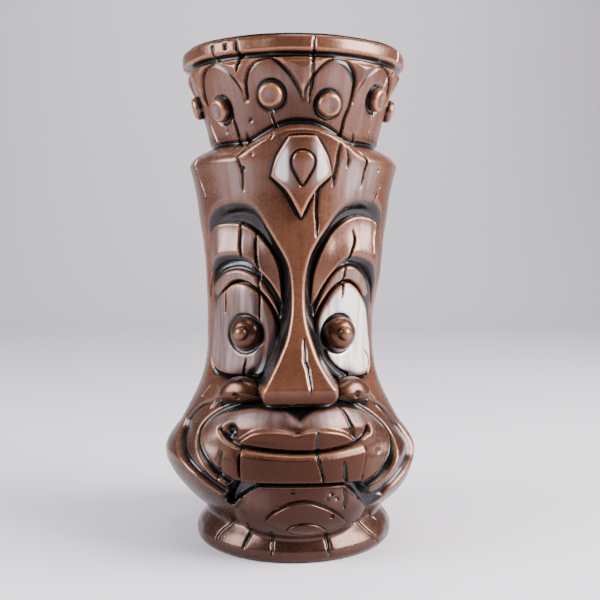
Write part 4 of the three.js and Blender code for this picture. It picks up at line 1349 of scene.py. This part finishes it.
def black_glaze():
    """The glossy black glaze that lines the bowl."""
    material, nodes, links, shader = new_material("black_glaze")
    place = nodes.new("ShaderNodeTexCoord")
    ripple = nodes.new("ShaderNodeTexNoise")
    ripple.inputs["Scale"].default_value = 90
    ripple.inputs["Detail"].default_value = 2
    links.new(place.outputs["Object"], ripple.inputs["Vector"])
    tint = nodes.new("ShaderNodeValToRGB")
    tint.color_ramp.elements[0].color = (0.004, 0.004, 0.004, 1)
    tint.color_ramp.elements[1].color = (0.016, 0.012, 0.011, 1)
    links.new(ripple.outputs["Fac"], tint.inputs["Fac"])
    links.new(tint.outputs["Color"], shader.inputs["Base Color"])
    shader.inputs["Roughness"].default_value = 0.12
    shader.inputs["Coat Weight"].default_value = 0.6
    shader.inputs["Coat Roughness"].default_value = 0.05
    bumps = nodes.new("ShaderNodeBump")
    bumps.inputs["Strength"].default_value = 0.15
    bumps.inputs["Distance"].default_value = 0.0006
    links.new(ripple.outputs["Fac"], bumps.inputs["Height"])
    links.new(bumps.outputs["Normal"], shader.inputs["Normal"])
    return material


# --- The pieces ---

body_glaze = antique_glaze("carved_body_glaze")
ornament_glaze = antique_glaze("ornament_glaze")
liner_glaze = black_glaze()

build_body()
for k, leaf in enumerate(pads[:ORNAMENTS]):
    left_side, right_side = leaf_sides(k)
    s, z = between(left_side, right_side, 64)
    build_sheet(leaf, s.T, z.T)
for pad in pads[ORNAMENTS:]:
    build_pad(pad)
for side, pad in enumerate(brow_pads):
    s, z = between(*brow_edges[side], 50)
    build_sheet(pad, s, z)


def middle_of(node):
    """The middle of a piece of the frame."""
    low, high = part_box(node)
    return (low + high) / 2


def outward(place):
    """The level direction out from the axis."""
    return Vector((place.x, place.y, 0)).normalized()


def stud_shade(r, h):
    """Black round the stud's foot, a rubbed rim with painted highlight and a greyer middle with painted
    sheen.
    """
    return 1 - step(h, 0.2, 1.3), bump(r, 3.3, 1.1) * step(h, 1.2, 2.2), 0.5 * (1 - step(r, 1.5, 3.5))


STUD = [
    (0, -1.6), (4.1, -1.6), (4.25, 0), (4.2, 1.1), (3.95, 1.9), (3.4, 2.5), (2.6, 2.75), (1.6, 2.62),
    (0.8, 2.5), (0, 2.48),
]
CROWN_LEAN = math.atan2(38.6 - 30.8, BAND_FOOT - CROWN_FOOT)  # how far the crown's wall leans out
for k in range(ORNAMENTS):
    node = f"crown_stud_{k + 1:02d}"
    centre = middle_of(node)
    out = outward(centre)
    wall = along(CROWN, centre.z / MM) * MM
    origin = Vector((out.x * wall, out.y * wall, centre.z))
    axis = out * math.cos(CROWN_LEAN) - Vector((0, 0, math.sin(CROWN_LEAN)))
    build_turned(node, STUD, origin, axis, stud_shade)


def dome_profile(radius, depth, sink):
    """A quarter ellipse that starts sink below the surface it stands on."""
    points = [(0, -sink), (radius * 0.97, -sink)]
    for k in range(9):
        a = k / 8 * math.pi / 2
        points.append((radius * math.cos(a), depth * math.sin(a)))
    points[-1] = (0, depth)
    return points


# Pupils and beads: black round the foot, and rubbed copper with painted highlight near the top.
def pupil_shade(r, h):
    return 1 - step(h, 0.1, 1.6), 0.25 * step(h, 3.5, 5), 0 * r


def bead_shade(r, h):
    return 1 - step(h, -0.1, 0.35), 0.5 * step(h, 0.8, 1.8), 0 * r


PUPIL_STANDS = 1.6  # over the socket's floor
BEAD_STANDS = 4.9  # over the pupil's foot
for name in ("left", "right"):
    node = f"pupil_{name}"
    centre = middle_of(node)
    out = outward(centre)
    arc = math.atan2(out.x, -out.y) * MAP
    base = socket_floor(np.array([arc]), np.array([centre.z / MM]))[0] + PUPIL_STANDS
    origin = Vector((out.x * base * MM, out.y * base * MM, centre.z))
    # Pupils and beads are dimmed by painted shade, the pupils more.
    build_turned(node, dome_profile(6.2, 5.2, 2), origin, out, pupil_shade, 0.55)
    node = f"pupil_bead_{name}"
    bead = middle_of(node)
    origin = outward(bead) * (base + BEAD_STANDS) * MM + Vector((0, 0, bead.z))
    build_turned(node, dome_profile(2.6, 2.2, 1.2), origin, out, bead_shade, 0.3, 48)

# The drop on the crest stands in a groove of the plaque.
drop = Pad("crest_boss", DROP, drop_base, drop_top, 1.0, (CREST, 137.2), 20)
build_pad(drop)

# The liner's profile runs up its outside, over the lip and down its inside.
LINER = [
    (0, 8.8), (20.6, 9), (25.4, 10.6), (28.6, 14.8), (33.4, 23), (36, 30.4), (36.5, 36), (34.6, 42.4),
    (30.6, 50.6), (27.2, 60.4), (25.5, 72), (25.5, 88), (26.2, 104), (27.4, 118), (28.2, 130),
    (27.4, 138.4), (26.2, 143.4), (25.6, 146.8), (26.2, 149.8), (28, 154.4), (30.4, 160.4), (33.2, 168.4),
    (35.6, 174.4), (36.6, TOP - 0.6), (37.6, TOP - 0.4), (39, TOP - 0.45), (39.2, TOP - 0.2), (38.5, TOP),
    (37, TOP - 0.02), (35.9, TOP - 0.8), (34.8, 174), (32.4, 168), (29.6, 160), (27.2, 154), (25.4, 149.6),
    (24.8, 146.5), (25.4, 143), (26.6, 138), (27.4, 130), (26.6, 118), (25.4, 104), (24.7, 88), (24.7, 72),
    (26.3, 60), (29.6, 50), (33.6, 42), (35.4, 36), (35, 30.8), (32.6, 23.6), (28, 15.6), (24.8, 11.6),
    (20, 10), (0, 9.8),
]


def no_shade(r, h):
    return 0 * r, 0 * r, 0 * r


build_turned("glaze_liner", LINER, (0, 0, 0), (0, 0, 1), no_shade, 0.0, 160, (0, 1, 0), "bowl_glaze",
             liner_glaze)


# --- Floor, lights and camera ---

def plain(name, colour, rough):
    material, _, _, shader = new_material(name)
    shader.inputs["Base Color"].default_value = (*colour, 1)
    shader.inputs["Roughness"].default_value = rough
    return material


def floor():
    """A pale floor that curves up behind the mug."""
    half, depth, rise, bend = 1.6, 1.3, 1.2, 0.5
    section = [(-half, 0.0)]
    for a in np.linspace(0, math.pi / 2, 16):
        section.append((depth - bend + bend * math.sin(a), bend - bend * math.cos(a)))
    section.append((depth, rise))
    points = np.array([[(x, y, z) for y, z in section] for x in (-half, half)])
    faces = grid_faces(2, len(section), False)[:, ::-1].tolist()
    mesh = bpy.data.meshes.new("floor")
    mesh.from_pydata(points.reshape(-1, 3).tolist(), [], faces)
    mesh.polygons.foreach_set("use_smooth", [True] * len(mesh.polygons))
    mesh.materials.append(plain("floor_paper", (0.56, 0.53, 0.58), 0.6))
    obj = bpy.data.objects.new("floor", mesh)
    bpy.context.scene.collection.objects.link(obj)


def soft_box(name, place, target, size, power, colour=(1, 1, 1)):
    """A rectangular area light at place that shines at target."""
    light = bpy.data.lights.new(name, "AREA")
    light.shape = "RECTANGLE"
    light.size, light.size_y = size
    light.energy = power
    light.color = colour
    obj = bpy.data.objects.new(name, light)
    obj.location = place
    obj.rotation_euler = (Vector(target) - Vector(place)).to_track_quat("-Z", "Y").to_euler()
    bpy.context.scene.collection.objects.link(obj)


floor()
aim = Vector((0, 0, 0.12))


def around(angle, distance, height):
    """A place round the mug; the angle grows from the camera's side to its right."""
    a = math.radians(angle)
    return Vector((distance * math.sin(a), -distance * math.cos(a), height))


soft_box("strip_right", around(70, 0.6, 0.38), aim, (0.46, 0.45), 25.0, (1.0, 0.97, 0.96))
soft_box("strip_left", around(-72, 0.6, 0.34), aim, (0.4, 0.42), 11.5, (0.95, 0.96, 1.0))
soft_box("overhead", Vector((0.05, -0.04, 0.72)), aim, (0.42, 0.3), 2.6)
soft_box("backdrop", Vector((0.0, 0.62, 0.9)), Vector((0, 1.1, 0.25)), (1.2, 0.5), 9.0)
world = bpy.data.worlds.new("studio")
world.use_nodes = True
world.node_tree.nodes["Background"].inputs["Color"].default_value = (0.8, 0.78, 0.88, 1)
world.node_tree.nodes["Background"].inputs["Strength"].default_value = 0.04
bpy.context.scene.world = world

CAMERA_DISTANCE = 0.337
CAMERA_HEIGHT = 0.1115
CAMERA_AZIMUTH = math.radians(2.3)
CAMERA_PITCH = math.radians(3.8)
CAMERA_YAW = math.radians(0.42)  # the mug stands a little left of the middle
camera = bpy.data.objects.new("camera", bpy.data.cameras.new("camera"))
camera.data.lens = 53.4
camera.data.sensor_width = 36
camera.location = (
    -CAMERA_DISTANCE * math.sin(CAMERA_AZIMUTH),
    -CAMERA_DISTANCE * math.cos(CAMERA_AZIMUTH),
    CAMERA_HEIGHT,
)
camera.rotation_euler = (math.pi / 2 - CAMERA_PITCH, 0, -CAMERA_AZIMUTH - CAMERA_YAW)
camera.data.clip_start = 0.01
bpy.context.scene.collection.objects.link(camera)
bpy.context.scene.camera = camera
